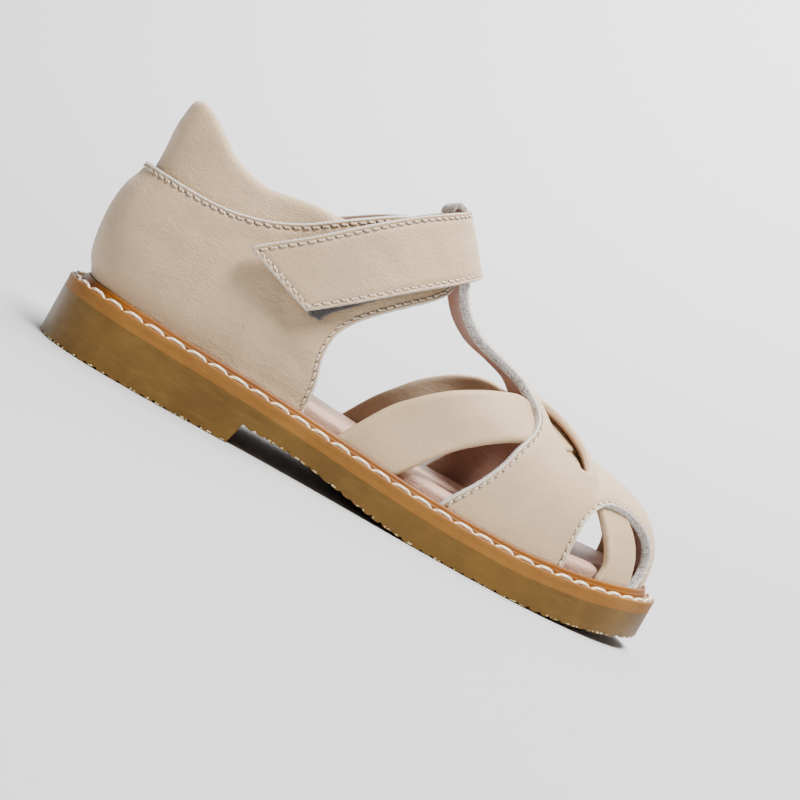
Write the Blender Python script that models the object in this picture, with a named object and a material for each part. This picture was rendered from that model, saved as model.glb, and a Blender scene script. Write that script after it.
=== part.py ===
"""A child's right-foot leather T-bar sandal with crossing toe bands, standing empty on its sole.

Units are metres. +X runs from heel to toe, +Y to the inner (medial) side and +Z up. The origin is on the
floor, under the middle of the sole's length and width. Widths and heights were sized for a shoe that is
SOLE_LENGTH long. Leather pieces are flat patterns, triangulated inside their outlines and then laid on
one of three surfaces of the last: the vamp, the quarter and the ring round the instep.
"""

import math

import bpy
import numpy as np
from mathutils import Vector
from mathutils.geometry import delaunay_2d_cdt

MM = 0.001

SOLE_LENGTH = 168 * MM
SOLE_WIDTH = 66 * MM
HEEL_LENGTH = 50 * MM
BREAST_SLANT = 1.5 * MM
ARCH_RISE = 5.2 * MM
TOE_SPRING = 4.4 * MM
WELT_HEIGHT = 15.4 * MM
FLANGE_THICKNESS = 1.3 * MM
MIDSOLE_THICKNESS = 1.5 * MM
RIB_INSET = 2.9 * MM
RIB_WIDTH = 1.2 * MM
RIB_HEIGHT = 1.8 * MM
INSOLE_ABOVE_WELT = 4.6 * MM
LEATHER = 2.0 * MM
BAND_SINK = 0.8 * MM
UNDER_BAND_SINK = 1.5 * MM
BAND_LIFT = 2.0 * MM
PANEL_THICKNESS = 2.2 * MM
COLLAR_THICKNESS = 3.6 * MM
TAPE_THICKNESS = 1.0 * MM
GAP = 0.3 * MM

UPPER_INSET = RIB_INSET + RIB_WIDTH + GAP
INSOLE_INSET = UPPER_INSET + max(PANEL_THICKNESS, LEATHER) + 3 * GAP

RIDGE_HEIGHT = 44 * MM
FAN_AT = 0.804
HALF_GIRTH = 50 * MM
HEEL_SWELL = 4.2 * MM
SIDE_SWELL = 1.4 * MM

STRAP_WIDTH = 16 * MM
STRAP_SLACK = 1.1 * MM
STRAP_CENTRE = (0.268 * SOLE_LENGTH, 0.909 * RIDGE_HEIGHT)
STRAP_APEX = (0.4677 * SOLE_LENGTH, 1.5489 * RIDGE_HEIGHT)
STRAP_PITCH = math.atan2(STRAP_APEX[1] - STRAP_CENTRE[1], STRAP_APEX[0] - STRAP_CENTRE[0])
STRAP_LIFT_SIDE = LEATHER + GAP + TAPE_THICKNESS + STRAP_SLACK
STRAP_LIFT_TOP = LEATHER + PANEL_THICKNESS - 0.4 * MM
STRAP_LIFT_INNER_SIDE = 0.6 * LEATHER
INSTEP_REACH = math.dist(STRAP_CENTRE, STRAP_APEX)
INSTEP_HALF_WIDTH = 0.412 * SOLE_WIDTH - UPPER_INSET

PATTERN_STEP = 4.2 * MM
EDGE_STEP = 3.6 * MM

# along: share of SOLE_LENGTH from the heel. outer, inner: shares of SOLE_WIDTH from the sole's axis.
SOLE_OUTLINE = (
    # along, outer, inner
    (0.000, 0.000, 0.000),
    (0.012, 0.165, 0.165),
    (0.040, 0.272, 0.268),
    (0.090, 0.350, 0.342),
    (0.160, 0.392, 0.380),
    (0.250, 0.404, 0.378),
    (0.350, 0.410, 0.352),
    (0.450, 0.432, 0.342),
    (0.550, 0.468, 0.380),
    (0.640, 0.495, 0.446),
    (0.700, 0.500, 0.484),
    (0.760, 0.487, 0.500),
    (0.830, 0.440, 0.486),
    (0.890, 0.368, 0.440),
    (0.940, 0.275, 0.368),
    (0.975, 0.170, 0.275),
    (0.994, 0.060, 0.175),
    (1.000, -0.045, 0.045),
)

# height: share of WELT_HEIGHT, of the welt's top edge.
WELT_LINE = (
    # along, height
    (0.00, 1.000),
    (0.24, 0.895),
    (0.34, 0.835),
    (0.44, 0.750),
    (0.54, 0.670),
    (0.65, 0.625),
    (0.72, 0.625),
    (0.79, 0.668),
    (0.85, 0.720),
    (0.89, 0.775),
    (1.00, 0.930),
)

# arch: share of ARCH_RISE. spring: share of TOE_SPRING. Together they lift the outsole's underside.
TREAD_LINE = (
    # along, arch, spring
    (0.31, 1.00, 0.00),
    (0.38, 0.90, 0.00),
    (0.46, 0.55, 0.00),
    (0.54, 0.15, 0.00),
    (0.60, 0.00, 0.00),
    (0.74, 0.00, 0.00),
    (0.82, 0.00, 0.12),
    (0.91, 0.00, 0.47),
    (1.00, 0.00, 1.00),
)

# height: share of RIDGE_HEIGHT. boxy: power of the section, small where the top is flat. side: share of SOLE_WIDTH.
RIDGE_LINE = (
    # along, height, boxy, side
    (0.455, 1.735, 1.00, 0.000),
    (0.473, 1.640, 0.98, 0.000),
    (0.488, 1.540, 0.94, 0.000),
    (0.497, 1.455, 0.88, 0.000),
    (0.505, 1.375, 0.80, 0.000),
    (0.516, 1.305, 0.70, 0.000),
    (0.529, 1.245, 0.62, 0.000),
    (0.545, 1.195, 0.56, 0.000),
    (0.561, 1.160, 0.53, 0.000),
    (0.601, 1.118, 0.50, 0.004),
    (0.635, 1.084, 0.50, 0.008),
    (0.667, 1.040, 0.54, 0.012),
    (0.716, 1.000, 0.58, 0.018),
    (0.745, 0.970, 0.60, 0.021),
    (0.771, 0.930, 0.62, 0.024),
    (0.790, 0.886, 0.63, 0.026),
    (0.804, 0.848, 0.64, 0.028),
)

# The bands' ridge stays low behind the panel, where the stem climbs to the strap.
BAND_RIDGE_LINE = (
    # along, height, boxy, side
    (0.400, 1.240, 0.46, 0.000),
    (0.500, 1.190, 0.46, 0.000),
    (0.560, 1.145, 0.47, 0.000),
    (0.601, 1.112, 0.48, 0.004),
) + RIDGE_LINE[10:]

# height: share of RIDGE_HEIGHT, above WELT_HEIGHT. back, side: how far the quarter swells out past its foot, as shares
# of HEEL_SWELL at the back and of SIDE_SWELL at the sides.
QUARTER_SWELL = (
    # height, back, side
    (-0.1227, 0.000, 0.000),
    (0.0227, 0.000, 0.000),
    (0.0591, 0.119, 0.286),
    (0.1500, 0.619, 0.714),
    (0.2864, 0.929, 1.000),
    (0.4227, 1.000, 1.000),
    (0.5591, 0.833, 0.571),
    (0.6955, 0.381, -0.143),
    (0.8318, 0.405, -1.000),
    (0.9682, 0.476, -1.714),
    (1.0818, 0.357, -2.143),
    (1.4682, -0.238, -3.214),
)


def smooth(table, x, column):
    """Monotone cubic through one column of a table, at the places x of its first column."""
    rows = np.array(table, float)
    xs, ys = rows[:, 0], rows[:, column]
    slope = np.diff(ys) / np.diff(xs)
    product = slope[:-1] * slope[1:]
    total = slope[:-1] + slope[1:]
    inner = np.where(product > 0, 2 * product / np.where(total == 0, 1, total), 0)
    tangent = np.concatenate([slope[:1], inner, slope[-1:]])
    x = np.clip(np.asarray(x, float), xs[0], xs[-1])
    i = np.clip(np.searchsorted(xs, x, side="right") - 1, 0, len(xs) - 2)
    step = xs[i + 1] - xs[i]
    t = (x - xs[i]) / step
    return (
        (2 * t**3 - 3 * t**2 + 1) * ys[i]
        + (t**3 - 2 * t**2 + t) * step * tangent[i]
        + (3 * t**2 - 2 * t**3) * ys[i + 1]
        + (t**3 - t**2) * step * tangent[i + 1]
    )


def welt_top(x):
    """Height of the welt's top edge at x from the heel."""
    return WELT_HEIGHT * smooth(WELT_LINE, x / SOLE_LENGTH, 1)


def welt_foot(x):
    """Height of the welt's underside, where the upper and the insole stand."""
    return welt_top(x) - FLANGE_THICKNESS


def tread(x):
    """Height of the outsole's underside at x from the heel."""
    along = x / SOLE_LENGTH
    arched = ARCH_RISE * smooth(TREAD_LINE, along, 1) + TOE_SPRING * smooth(TREAD_LINE, along, 2)
    return np.where(x <= HEEL_LENGTH, 0.0, arched)


def closed_curve(points, count):
    """A closed Catmull-Rom curve through points, sampled at equal steps."""
    p = np.array(points, float)
    before, after, beyond = np.roll(p, 1, 0), np.roll(p, -1, 0), np.roll(p, -2, 0)
    t = np.linspace(0, 1, 24, endpoint=False)[:, None, None]
    dense = 0.5 * (
        2 * p
        + (after - before) * t
        + (2 * before - 5 * p + 4 * after - beyond) * t**2
        + (3 * p - before - 3 * after + beyond) * t**3
    )
    dense = dense.transpose(1, 0, 2).reshape(-1, 2)
    return resampled(np.vstack([dense, dense[:1]]), count + 1)[:-1]


def resampled(line, count):
    """A polyline's points again, at equal steps."""
    line = np.asarray(line, float)
    length = np.concatenate([[0], np.cumsum(np.linalg.norm(np.diff(line, axis=0), axis=1))])
    at = np.linspace(0, length[-1], count)
    return np.stack([np.interp(at, length, column) for column in line.T], -1)


def sole_edge(inset, count=720):
    """The sole's closed outline, moved in by inset. It starts at the heel and runs up the outer side."""
    table = np.array(SOLE_OUTLINE) * (SOLE_LENGTH, SOLE_WIDTH, SOLE_WIDTH)
    outer = table[:, (0, 1)] * (1, -1)
    inner = table[-2:0:-1, (0, 2)]
    edge = closed_curve(np.vstack([outer, inner]), count)
    along = np.roll(edge, -1, 0) - np.roll(edge, 1, 0)
    inward = np.stack([-along[:, 1], along[:, 0]], -1)
    moved = edge + inset * inward / np.linalg.norm(inward, axis=1)[:, None]
    return np.roll(moved, -int(moved[:, 0].argmin()), 0)


def sides(inset):
    """The outline's outer and inner halves, each from heel to toe."""
    edge = sole_edge(inset)
    toe = int(edge[:, 0].argmax())
    outer = edge[: toe + 1]
    inner = np.vstack([edge[toe:], edge[:1]])[::-1]
    return outer, inner


def centred(points):
    """Moves points from the heel to the part's frame, whose origin is under the middle of the sole."""
    points = np.asarray(points, float).copy()
    points[:, 0] -= SOLE_LENGTH / 2
    return points


UPPER_OUTER, UPPER_INNER = sides(UPPER_INSET)
FAN_X = FAN_AT * SOLE_LENGTH
FAN_Y = SOLE_WIDTH * RIDGE_LINE[-1][3]


def fan_reach(angle):
    """How far the upper's foot is from the fan's centre, by direction. 0 is the toe, negative the outer side."""
    ring = np.vstack([UPPER_OUTER, UPPER_INNER[::-1]]) - (FAN_X, FAN_Y)
    ring = ring[ring[:, 0] > -20 * MM]
    angles = np.arctan2(ring[:, 1], ring[:, 0])
    order = angles.argsort()
    return np.interp(angle, angles[order], np.linalg.norm(ring[order], axis=1))


def vamp(flat, line=RIDGE_LINE):
    """Points of the vamp's outer face. flat is (x from the heel, distance across from the ridge)."""
    u, v = np.asarray(flat, float).T
    fan = u > FAN_X
    side = np.where(v < 0, -1.0, 1.0)
    angle = np.arctan2(v, np.maximum(u - FAN_X, 0))
    across = np.where(fan, np.hypot(u - FAN_X, v), np.abs(v)) / HALF_GIRTH
    share = np.minimum(u, FAN_X) / SOLE_LENGTH
    centre_y = SOLE_WIDTH * smooth(line, share, 3)
    outer = np.interp(u, UPPER_OUTER[:, 0], UPPER_OUTER[:, 1]) - centre_y
    inner = np.interp(u, UPPER_INNER[:, 0], UPPER_INNER[:, 1]) - centre_y
    reach = np.where(fan, fan_reach(angle), np.where(side < 0, -outer, inner))
    way = np.where(fan[:, None], np.stack([np.cos(angle), np.sin(angle)], -1), np.stack([0 * side, side], -1))
    centre = np.stack([np.minimum(u, FAN_X), centre_y], -1)
    foot = welt_foot((centre + way * reach[:, None])[:, 0])
    rise = RIDGE_HEIGHT * smooth(line, share, 1) - foot
    boxy = smooth(line, share, 2)
    turn = math.pi / 2 * (1 - (1 - np.linspace(0, 1, 90)) ** 2.5)
    out = reach[:, None] * np.sin(turn)
    up = rise[:, None] * np.maximum(np.cos(turn), 0) ** boxy[:, None]
    steps = np.hypot(np.diff(out, axis=1), np.diff(up, axis=1)).cumsum(axis=1)
    girth = np.concatenate([np.zeros((len(u), 1)), steps], axis=1) / steps[:, -1:]
    found = np.array([(np.interp(a, g, o), np.interp(a, g, h)) for a, g, o, h in zip(across, girth, out, up)])
    beyond = np.maximum(across - 1, 0) * HALF_GIRTH
    plan = centre + way * found[:, :1]
    return np.column_stack([plan, foot + found[:, 1] - beyond])


def band_last(flat):
    """Points of the surface that the bands lie on."""
    return vamp(flat, BAND_RIDGE_LINE)


HEEL_RING = np.vstack([UPPER_OUTER[::-1], UPPER_INNER[1:]])
RING_LENGTH = np.concatenate([[0], np.cumsum(np.linalg.norm(np.diff(HEEL_RING, axis=0), axis=1))])
RING_LENGTH = RING_LENGTH - RING_LENGTH[len(UPPER_OUTER) - 1]
UP_STRAP = np.array([math.cos(STRAP_PITCH), math.sin(STRAP_PITCH)])
ACROSS_STRAP = np.array([math.sin(STRAP_PITCH), -math.cos(STRAP_PITCH)])


def quarter(flat):
    """Points of the quarter's outer face. flat is (distance round the heel, negative outside; height)."""
    round_heel, height = np.asarray(flat, float).T
    ahead = np.gradient(HEEL_RING, axis=0)
    outward = np.stack([-ahead[:, 1], ahead[:, 0]], -1)
    outward /= np.linalg.norm(outward, axis=1)[:, None]
    foot = np.stack([np.interp(round_heel, RING_LENGTH, c) for c in HEEL_RING.T], -1)
    way = np.stack([np.interp(round_heel, RING_LENGTH, c) for c in outward.T], -1)
    back = np.clip(-way[:, 0], 0, 1) ** 1.5
    level = (height - WELT_HEIGHT) / RIDGE_HEIGHT
    heel_swell = HEEL_SWELL * smooth(QUARTER_SWELL, level, 1)
    side_swell = SIDE_SWELL * smooth(QUARTER_SWELL, level, 2)
    swell = back * heel_swell + (1 - back) * side_swell
    plan = foot + way * swell[:, None]
    up = (plan[:, 0] - STRAP_CENTRE[0]) * UP_STRAP[0] + (height - STRAP_CENTRE[1]) * UP_STRAP[1]
    wrap = np.clip(up / INSTEP_REACH, 0, 0.985)
    settled = np.clip(wrap / 0.3, 0, 1)
    settled = settled * settled * (3 - 2 * settled)
    half = np.abs(plan[:, 1]) * (1 - settled) + INSTEP_HALF_WIDTH * settled
    plan[:, 1] = np.sign(plan[:, 1]) * half * np.sqrt(1 - wrap**2)
    return np.column_stack([plan, height])


def strap_ring(flat):
    """Points of the strap's outer face. flat is (distance from the outer side over the instep, across)."""
    along, across = np.asarray(flat, float).T
    turn = np.linspace(0, math.pi, 241)
    lift = np.where(turn < math.pi / 2, STRAP_LIFT_SIDE, STRAP_LIFT_INNER_SIDE)
    ease = np.sin(turn) ** 2
    half = INSTEP_HALF_WIDTH + lift + (STRAP_LIFT_TOP - lift) * ease
    reach = (INSTEP_REACH + STRAP_LIFT_TOP) * np.sin(turn)
    side = -half * np.cos(turn)
    length = np.concatenate([[0], np.cumsum(np.hypot(np.diff(reach), np.diff(side)))])
    up = np.interp(along, length, reach) + np.minimum(along, 0) - np.maximum(along - length[-1], 0)
    y = np.interp(along, length, side)
    x = STRAP_CENTRE[0] + up * UP_STRAP[0] + across * ACROSS_STRAP[0]
    z = STRAP_CENTRE[1] + up * UP_STRAP[1] + across * ACROSS_STRAP[1]
    return np.column_stack([x, y, z])


# Patterns of the vamp. along: share of SOLE_LENGTH up to FAN_AT, and beyond it FAN_AT plus shares of HALF_GIRTH.
# across, half width: shares of HALF_GIRTH. The outer side is negative.
PANEL_OUTLINE = (
    # along, across
    (0.4583, -0.150),
    (0.5000, -0.160),
    (0.5476, -0.156),
    (0.5952, -0.152),
    (0.6310, -0.170),
    (0.6548, -0.220),
    (0.6702, -0.300),
    (0.6756, -0.380),
    (0.6726, -0.470),
    (0.6607, -0.570),
    (0.6488, -0.680),
    (0.6310, -0.790),
    (0.6101, -0.890),
    (0.5905, -1.000),
    (0.7976, -1.000),
    (0.8006, -0.920),
    (0.7988, -0.800),
    (0.8012, -0.680),
    (0.8346, -0.576),
    (0.9226, -0.480),
    (1.0826, -0.410),
    (1.2626, -0.352),
    (1.4026, -0.336),
    (1.5226, -0.380),
    (1.5926, -0.480),
    (1.6226, -0.572),
    (1.7426, -0.340),
    (1.8026, 0.000),
    (1.7780, 0.225),
    (1.7180, 0.405),
    (1.6600, 0.330),
    (1.5700, 0.275),
    (1.4300, 0.255),
    (1.2740, 0.285),
    (1.0826, 0.368),
    (0.9226, 0.470),
    (0.8346, 0.576),
    (0.8012, 0.680),
    (0.7988, 0.800),
    (0.8006, 0.920),
    (0.7976, 1.000),
    (0.5905, 1.000),
    (0.6101, 0.890),
    (0.6310, 0.790),
    (0.6488, 0.680),
    (0.6607, 0.570),
    (0.6726, 0.470),
    (0.6756, 0.380),
    (0.6702, 0.300),
    (0.6548, 0.220),
    (0.6310, 0.170),
    (0.5952, 0.152),
    (0.5476, 0.156),
    (0.5000, 0.160),
    (0.4583, 0.150),
)

# The slot on the outer side; the inner side's is its mirror image.
SLOT_OUTLINE = (
    # along, across
    (0.6800, -0.190),
    (0.7000, -0.130),
    (0.7270, -0.112),
    (0.7530, -0.150),
    (0.7730, -0.240),
    (0.7835, -0.350),
    (0.7800, -0.390),
    (0.7610, -0.404),
    (0.7360, -0.386),
    (0.7080, -0.320),
)

# Band A from its foot at the outer rear to its foot at the inner front.
BAND_A_LINE = (
    # along, across, half width
    (0.4679, -1.000, 0.160),
    (0.5018, -0.832, 0.140),
    (0.5298, -0.726, 0.134),
    (0.5595, -0.632, 0.126),
    (0.5964, -0.540, 0.120),
    (0.6399, -0.440, 0.118),
    (0.6810, -0.330, 0.118),
    (0.7220, -0.190, 0.118),
    (0.7620, -0.040, 0.122),
    (0.8040, 0.098, 0.122),
    (0.9640, 0.222, 0.118),
    (1.1240, 0.302, 0.112),
    (1.2740, 0.364, 0.112),
    (1.4040, 0.414, 0.118),
    (1.4990, 0.464, 0.128),
    (1.5600, 0.510, 0.138),
    (1.6100, 0.560, 0.146),
)

# Band B from its foot at the inner rear to its foot at the outer front, mirrored: the inner side is negative here.
BAND_B_LINE = (
    # along, across, half width
    (0.4829, -1.000, 0.160),
    (0.5130, -0.832, 0.140),
    (0.5370, -0.726, 0.134),
    (0.5620, -0.632, 0.128),
    (0.5964, -0.540, 0.124),
    (0.6399, -0.440, 0.120),
    (0.6786, -0.330, 0.120),
    (0.7173, -0.190, 0.124),
    (0.7560, -0.030, 0.128),
    (0.7946, 0.150, 0.132),
    (0.9120, 0.336, 0.132),
    (1.0421, 0.483, 0.132),
    (1.1651, 0.554, 0.150),
    (1.2630, 0.602, 0.174),
    (1.3336, 0.663, 0.202),
    (1.3802, 0.730, 0.226),
    (1.4149, 0.796, 0.236),
)

# One side of the quarter from its front foot to its back. Both sides end in a tab that lies under the strap.
# along: share of SOLE_LENGTH. height: share of RIDGE_HEIGHT, above WELT_HEIGHT.
QUARTER_SIDE = (
    # along, height
    (0.3726, 0.0136),
    (0.3690, 0.1500),
    (0.3595, 0.2864),
    (0.3619, 0.4182),
    (0.3774, 0.5250),
    (0.4048, 0.6364),
    (0.4345, 0.7409),
    (0.4613, 0.8318),
    (0.4798, 0.9227),
    (0.4786, 1.0364),
    (0.4560, 1.1500),
    (0.4286, 1.2227),
    (0.3929, 1.2000),
    (0.3571, 1.1318),
    (0.3214, 1.0409),
    (0.2857, 0.9455),
    (0.2500, 0.8500),
    (0.2143, 0.7818),
    (0.1786, 0.7364),
    (0.1369, 0.7045),
    (0.0893, 0.6886),
)

# round the heel: share of SOLE_LENGTH, from the middle of the back. height: share of RIDGE_HEIGHT, above WELT_HEIGHT.
COLLAR_TOP = (
    # round the heel, height
    (0.0000, 1.1591),
    (0.0357, 1.1568),
    (0.0655, 1.1477),
    (0.0923, 1.1227),
    (0.1161, 1.0818),
    (0.1399, 1.0318),
    (0.1607, 0.9864),
    (0.1875, 0.9500),
    (0.2202, 0.9295),
    (0.2619, 0.9341),
    (0.3036, 0.9545),
    (0.3452, 0.9818),
    (0.3929, 1.0136),
)
COLLAR_DEPTH = 0.423

# along: share of INSTEP_REACH, from the strap's axis on the outer side. across: share of STRAP_WIDTH, forward positive.
STRAP_OUTLINE = (
    # along, across
    (-0.1689, -0.5000),
    (-0.1461, -0.5625),
    (0.1598, -0.5437),
    (0.4795, -0.5563),
    (0.7763, -0.5375),
    (1.2100, -0.4500),
    (1.7123, -0.4750),
    (2.1689, -0.5250),
    (2.5342, -0.5500),
    (2.5342, 0.5250),
    (2.1689, 0.5250),
    (1.7123, 0.5500),
    (1.2100, 0.5875),
    (0.6279, 0.5188),
    (0.2968, 0.5000),
    (0.0594, 0.4750),
    (0.0320, 0.4250),
)

TAPE_OUTLINE = (
    # along, across
    (0.0594, -0.3438),
    (0.5708, -0.3438),
    (0.5708, 0.6000),
    (0.1005, 0.6000),
    (0.0594, 0.5000),
)


def on_vamp(table):
    """A vamp pattern's table in metres, in the flat coordinates of the vamp."""
    rows = np.array(table, float)
    ahead = np.minimum(rows[:, 0], FAN_AT) * SOLE_LENGTH + np.maximum(rows[:, 0] - FAN_AT, 0) * HALF_GIRTH
    return np.column_stack([ahead, rows[:, 1:] * HALF_GIRTH])


def on_quarter(table):
    """A table of places and heights on the quarter, in metres."""
    return np.array(table, float) * (SOLE_LENGTH, RIDGE_HEIGHT) + (0, WELT_HEIGHT)


def on_strap(table):
    """A strap pattern's table in metres."""
    return np.array(table, float) * (INSTEP_REACH, STRAP_WIDTH)


def inside(points, polygon):
    """True for points inside a polygon."""
    x, y = np.asarray(points).T[:, :, None]
    a, b = polygon, np.roll(polygon, -1, 0)
    crosses = (a[:, 1] > y) != (b[:, 1] > y)
    rise = np.where(b[:, 1] == a[:, 1], 1, b[:, 1] - a[:, 1])
    left = x < a[:, 0] + (y - a[:, 1]) * (b[:, 0] - a[:, 0]) / rise
    return (crosses & left).sum(1) % 2 == 1


def clearance(points, polygon):
    """Distance of each point from a polygon's edge."""
    a, b = polygon, np.roll(polygon, -1, 0)
    p = np.asarray(points)[:, None]
    along = b - a
    t = ((p - a) * along).sum(-1) / np.maximum((along**2).sum(-1), 1e-18)
    return np.linalg.norm(p - a - np.clip(t, 0, 1)[..., None] * along, axis=-1).min(1)


def even_edge(polygon, step):
    """The polygon again with points at equal steps on each run between sharp corners."""
    p = np.asarray(polygon, float)
    back, ahead = p - np.roll(p, 1, 0), np.roll(p, -1, 0) - p
    cos = (back * ahead).sum(1) / np.linalg.norm(back, axis=1) / np.linalg.norm(ahead, axis=1)
    corners = np.where(cos < math.cos(math.radians(48)))[0]
    if len(corners) == 0:
        count = max(8, round(np.linalg.norm(ahead, axis=1).sum() / step))
        return closed_curve(p, count)
    runs = []
    for start, end in zip(corners, np.roll(corners, -1)):
        if end <= start:
            end += len(p)
        run = p[np.arange(start, end + 1) % len(p)]
        curve = rounded(run)
        length = np.linalg.norm(np.diff(curve, axis=0), axis=1).sum()
        runs.append(resampled(curve, max(2, round(length / step) + 1))[:-1])
    return np.vstack(runs)


def rounded(run):
    """An open Catmull-Rom curve through the points of a run."""
    run = np.asarray(run, float)
    if len(run) == 2:
        return run
    p = np.vstack([2 * run[0] - run[1], run, 2 * run[-1] - run[-2]])
    t = np.linspace(0, 1, 16, endpoint=False)[None, :, None]
    a, b, c, d = (q[:, None] for q in (p[:-3], p[1:-2], p[2:-1], p[3:]))
    curve = 0.5 * (2 * b + (c - a) * t + (2 * a - 5 * b + 4 * c - d) * t**2 + (3 * b - a - 3 * c + d) * t**3)
    return np.vstack([curve.reshape(-1, 2), run[-1:]])


def triangles_in(outline, holes=(), lines=(), step=PATTERN_STEP):
    """Triangulates a flat outline. Returns its points and its triangles."""
    rings = [np.asarray(outline)] + [np.asarray(hole) for hole in holes]
    points, edges = [], []
    for ring in rings:
        first = sum(len(r) for r in points)
        count = len(ring)
        edges += [(first + i, first + (i + 1) % count) for i in range(count)]
        points.append(ring)
    for line in lines:
        first = sum(len(r) for r in points)
        edges += [(first + i, first + i + 1) for i in range(len(line) - 1)]
        points.append(np.asarray(line))
    low, high = rings[0].min(0), rings[0].max(0)
    rows = np.arange(low[1] + step / 2, high[1], step * 0.866)
    grid = [
        (x + (i % 2) * step / 2, y) for i, y in enumerate(rows) for x in np.arange(low[0], high[0], step)
    ]
    grid = np.array(grid)
    keep = inside(grid, rings[0]) & (clearance(grid, rings[0]) > 0.55 * step)
    for hole in rings[1:]:
        keep &= ~inside(grid, hole) & (clearance(grid, hole) > 0.55 * step)
    for line in lines:
        keep &= np.abs(grid[:, 0] - line[0][0]) > 0.5 * step
    points.append(grid[keep])
    flat = np.vstack(points)
    found = delaunay_2d_cdt([Vector(p / MM) for p in flat], edges, [], 0, 1e-6)
    flat = np.array([tuple(v) for v in found[0]]) * MM
    faces = np.array([tuple(f) for f in found[2]])
    middle = flat[faces].mean(1)
    kept = inside(middle, rings[0])
    for hole in rings[1:]:
        kept &= ~inside(middle, hole)
    return flat, faces[kept]


def solid(outer, inner, faces):
    """A closed shell between two matching sheets of points."""
    faces = np.asarray(faces)
    count = len(outer)
    pairs = np.vstack([faces[:, (0, 1)], faces[:, (1, 2)], faces[:, (2, 0)]])
    known = {tuple(pair) for pair in pairs.tolist()}
    rim = [pair for pair in known if pair[::-1] not in known]
    mesh = [tuple(f) for f in faces.tolist()]
    mesh += [tuple(count + i for i in f[::-1]) for f in faces.tolist()]
    mesh += [(b, a, a + count, b + count) for a, b in rim]
    points = np.vstack([outer, inner])
    return tidy(points, mesh)


def tidy(points, faces):
    """Drops unused points and turns the faces outward."""
    used = sorted({i for face in faces for i in face})
    place = {old: new for new, old in enumerate(used)}
    points = np.asarray(points)[used]
    faces = [tuple(place[i] for i in face) for face in faces]
    volume = 0.0
    for face in faces:
        for i in range(1, len(face) - 1):
            a, b, c = points[face[0]], points[face[i]], points[face[i + 1]]
            volume += a @ np.cross(b, c)
    if volume < 0:
        faces = [face[::-1] for face in faces]
    return points, faces


def laid(surface, outline, depth, thickness, holes=(), step=PATTERN_STEP):
    """A leather piece: its pattern laid on a surface of the last, depth below it."""
    flat, faces = triangles_in(outline, holes, step=step)
    top = surface(flat)
    reach = 0.4 * MM
    ahead = surface(flat + (reach, 0)) - surface(flat - (reach, 0))
    aside = surface(flat + (0, reach)) - surface(flat - (0, reach))
    normal = np.cross(ahead, aside)
    normal /= np.linalg.norm(normal, axis=1)[:, None]
    core = top * (1, 0, 0) + (0, 0, 28 * MM)
    if ((top - core) * normal).sum() < 0:
        normal = -normal
    sunk = np.asarray(depth(flat) if callable(depth) else np.full(len(flat), depth))[:, None]
    outer = top - normal * sunk
    inner = top - normal * (sunk + thickness)
    for sheet in (outer, inner):
        sheet[:, 2] = np.maximum(sheet[:, 2], welt_foot(sheet[:, 0]))
    return solid(outer, inner, faces)


def add(name, points, faces):
    """Makes an object of the part."""
    mesh = bpy.data.meshes.new(name)
    mesh.from_pydata(centred(points).tolist(), [], [list(f) for f in faces])
    mesh.validate()
    made = bpy.data.objects.new(name, mesh)
    bpy.context.scene.collection.objects.link(made)
    return made


def joined(name, pieces):
    """Joins overlapping pieces into one solid."""
    base = pieces[0]
    base.name = name
    base.data.name = name
    for piece in pieces[1:]:
        cut = base.modifiers.new("join", "BOOLEAN")
        cut.operation = "UNION"
        cut.solver = "EXACT"
        cut.object = piece
        bpy.context.view_layer.update()
        done = bpy.data.meshes.new_from_object(base.evaluated_get(bpy.context.evaluated_depsgraph_get()))
        base.modifiers.clear()
        base.data = done
        base.data.name = name
        bpy.data.objects.remove(piece, do_unlink=True)
    return base


def ring(inset, count=130):
    """The sole's outline moved in by inset, as a closed ring of equal steps."""
    edge = sole_edge(inset)
    return resampled(np.vstack([edge, edge[:1]]), count + 1)[:-1]


def slab(inset, top, bottom, lines=(), step=8 * MM):
    """A layer of the sole, between two heights given along the sole."""
    flat, faces = triangles_in(ring(inset), lines=lines, step=step)
    upper = np.column_stack([flat, top(flat[:, 0])])
    lower = np.column_stack([flat, bottom(flat[:, 0])])
    return solid(upper, lower, faces)


def with_crossings(outline, places):
    """An outline with points added where straight lines cross the sole at places, and those lines."""
    edge, lines = [tuple(p) for p in outline], []
    for x in places:
        found = []
        i = 0
        while i < len(edge):
            a, b = edge[i], edge[(i + 1) % len(edge)]
            if (a[0] - x) * (b[0] - x) < 0:
                share = (x - a[0]) / (b[0] - a[0])
                found.append((x, a[1] + share * (b[1] - a[1])))
                edge.insert(i + 1, found[-1])
                i += 1
            i += 1
        lines.append(found)
    return np.array(edge), lines


def build_outsole():
    """The moulded outsole with its heel, arch and toe spring."""
    breast = HEEL_LENGTH + BREAST_SLANT

    def top(x):
        return welt_foot(x) - GAP - MIDSOLE_THICKNESS - GAP

    def bottom(x):
        slope = np.clip((x - HEEL_LENGTH) / BREAST_SLANT, 0, 1)
        return slope * tread(np.maximum(x, breast))

    outline, lines = with_crossings(ring(0.0), (HEEL_LENGTH, breast))
    flat, faces = triangles_in(outline, lines=lines, step=7 * MM)
    upper = np.column_stack([flat, top(flat[:, 0])])
    lower = np.column_stack([flat, bottom(flat[:, 0])])
    return add("outsole", *solid(upper, lower, faces))


def build_midsole():
    """The thin layer between the outsole and the welt."""
    def top(x):
        return welt_foot(x) - GAP

    def bottom(x):
        return welt_foot(x) - GAP - MIDSOLE_THICKNESS

    return add("midsole", *slab(0.0, top, bottom))


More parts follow.
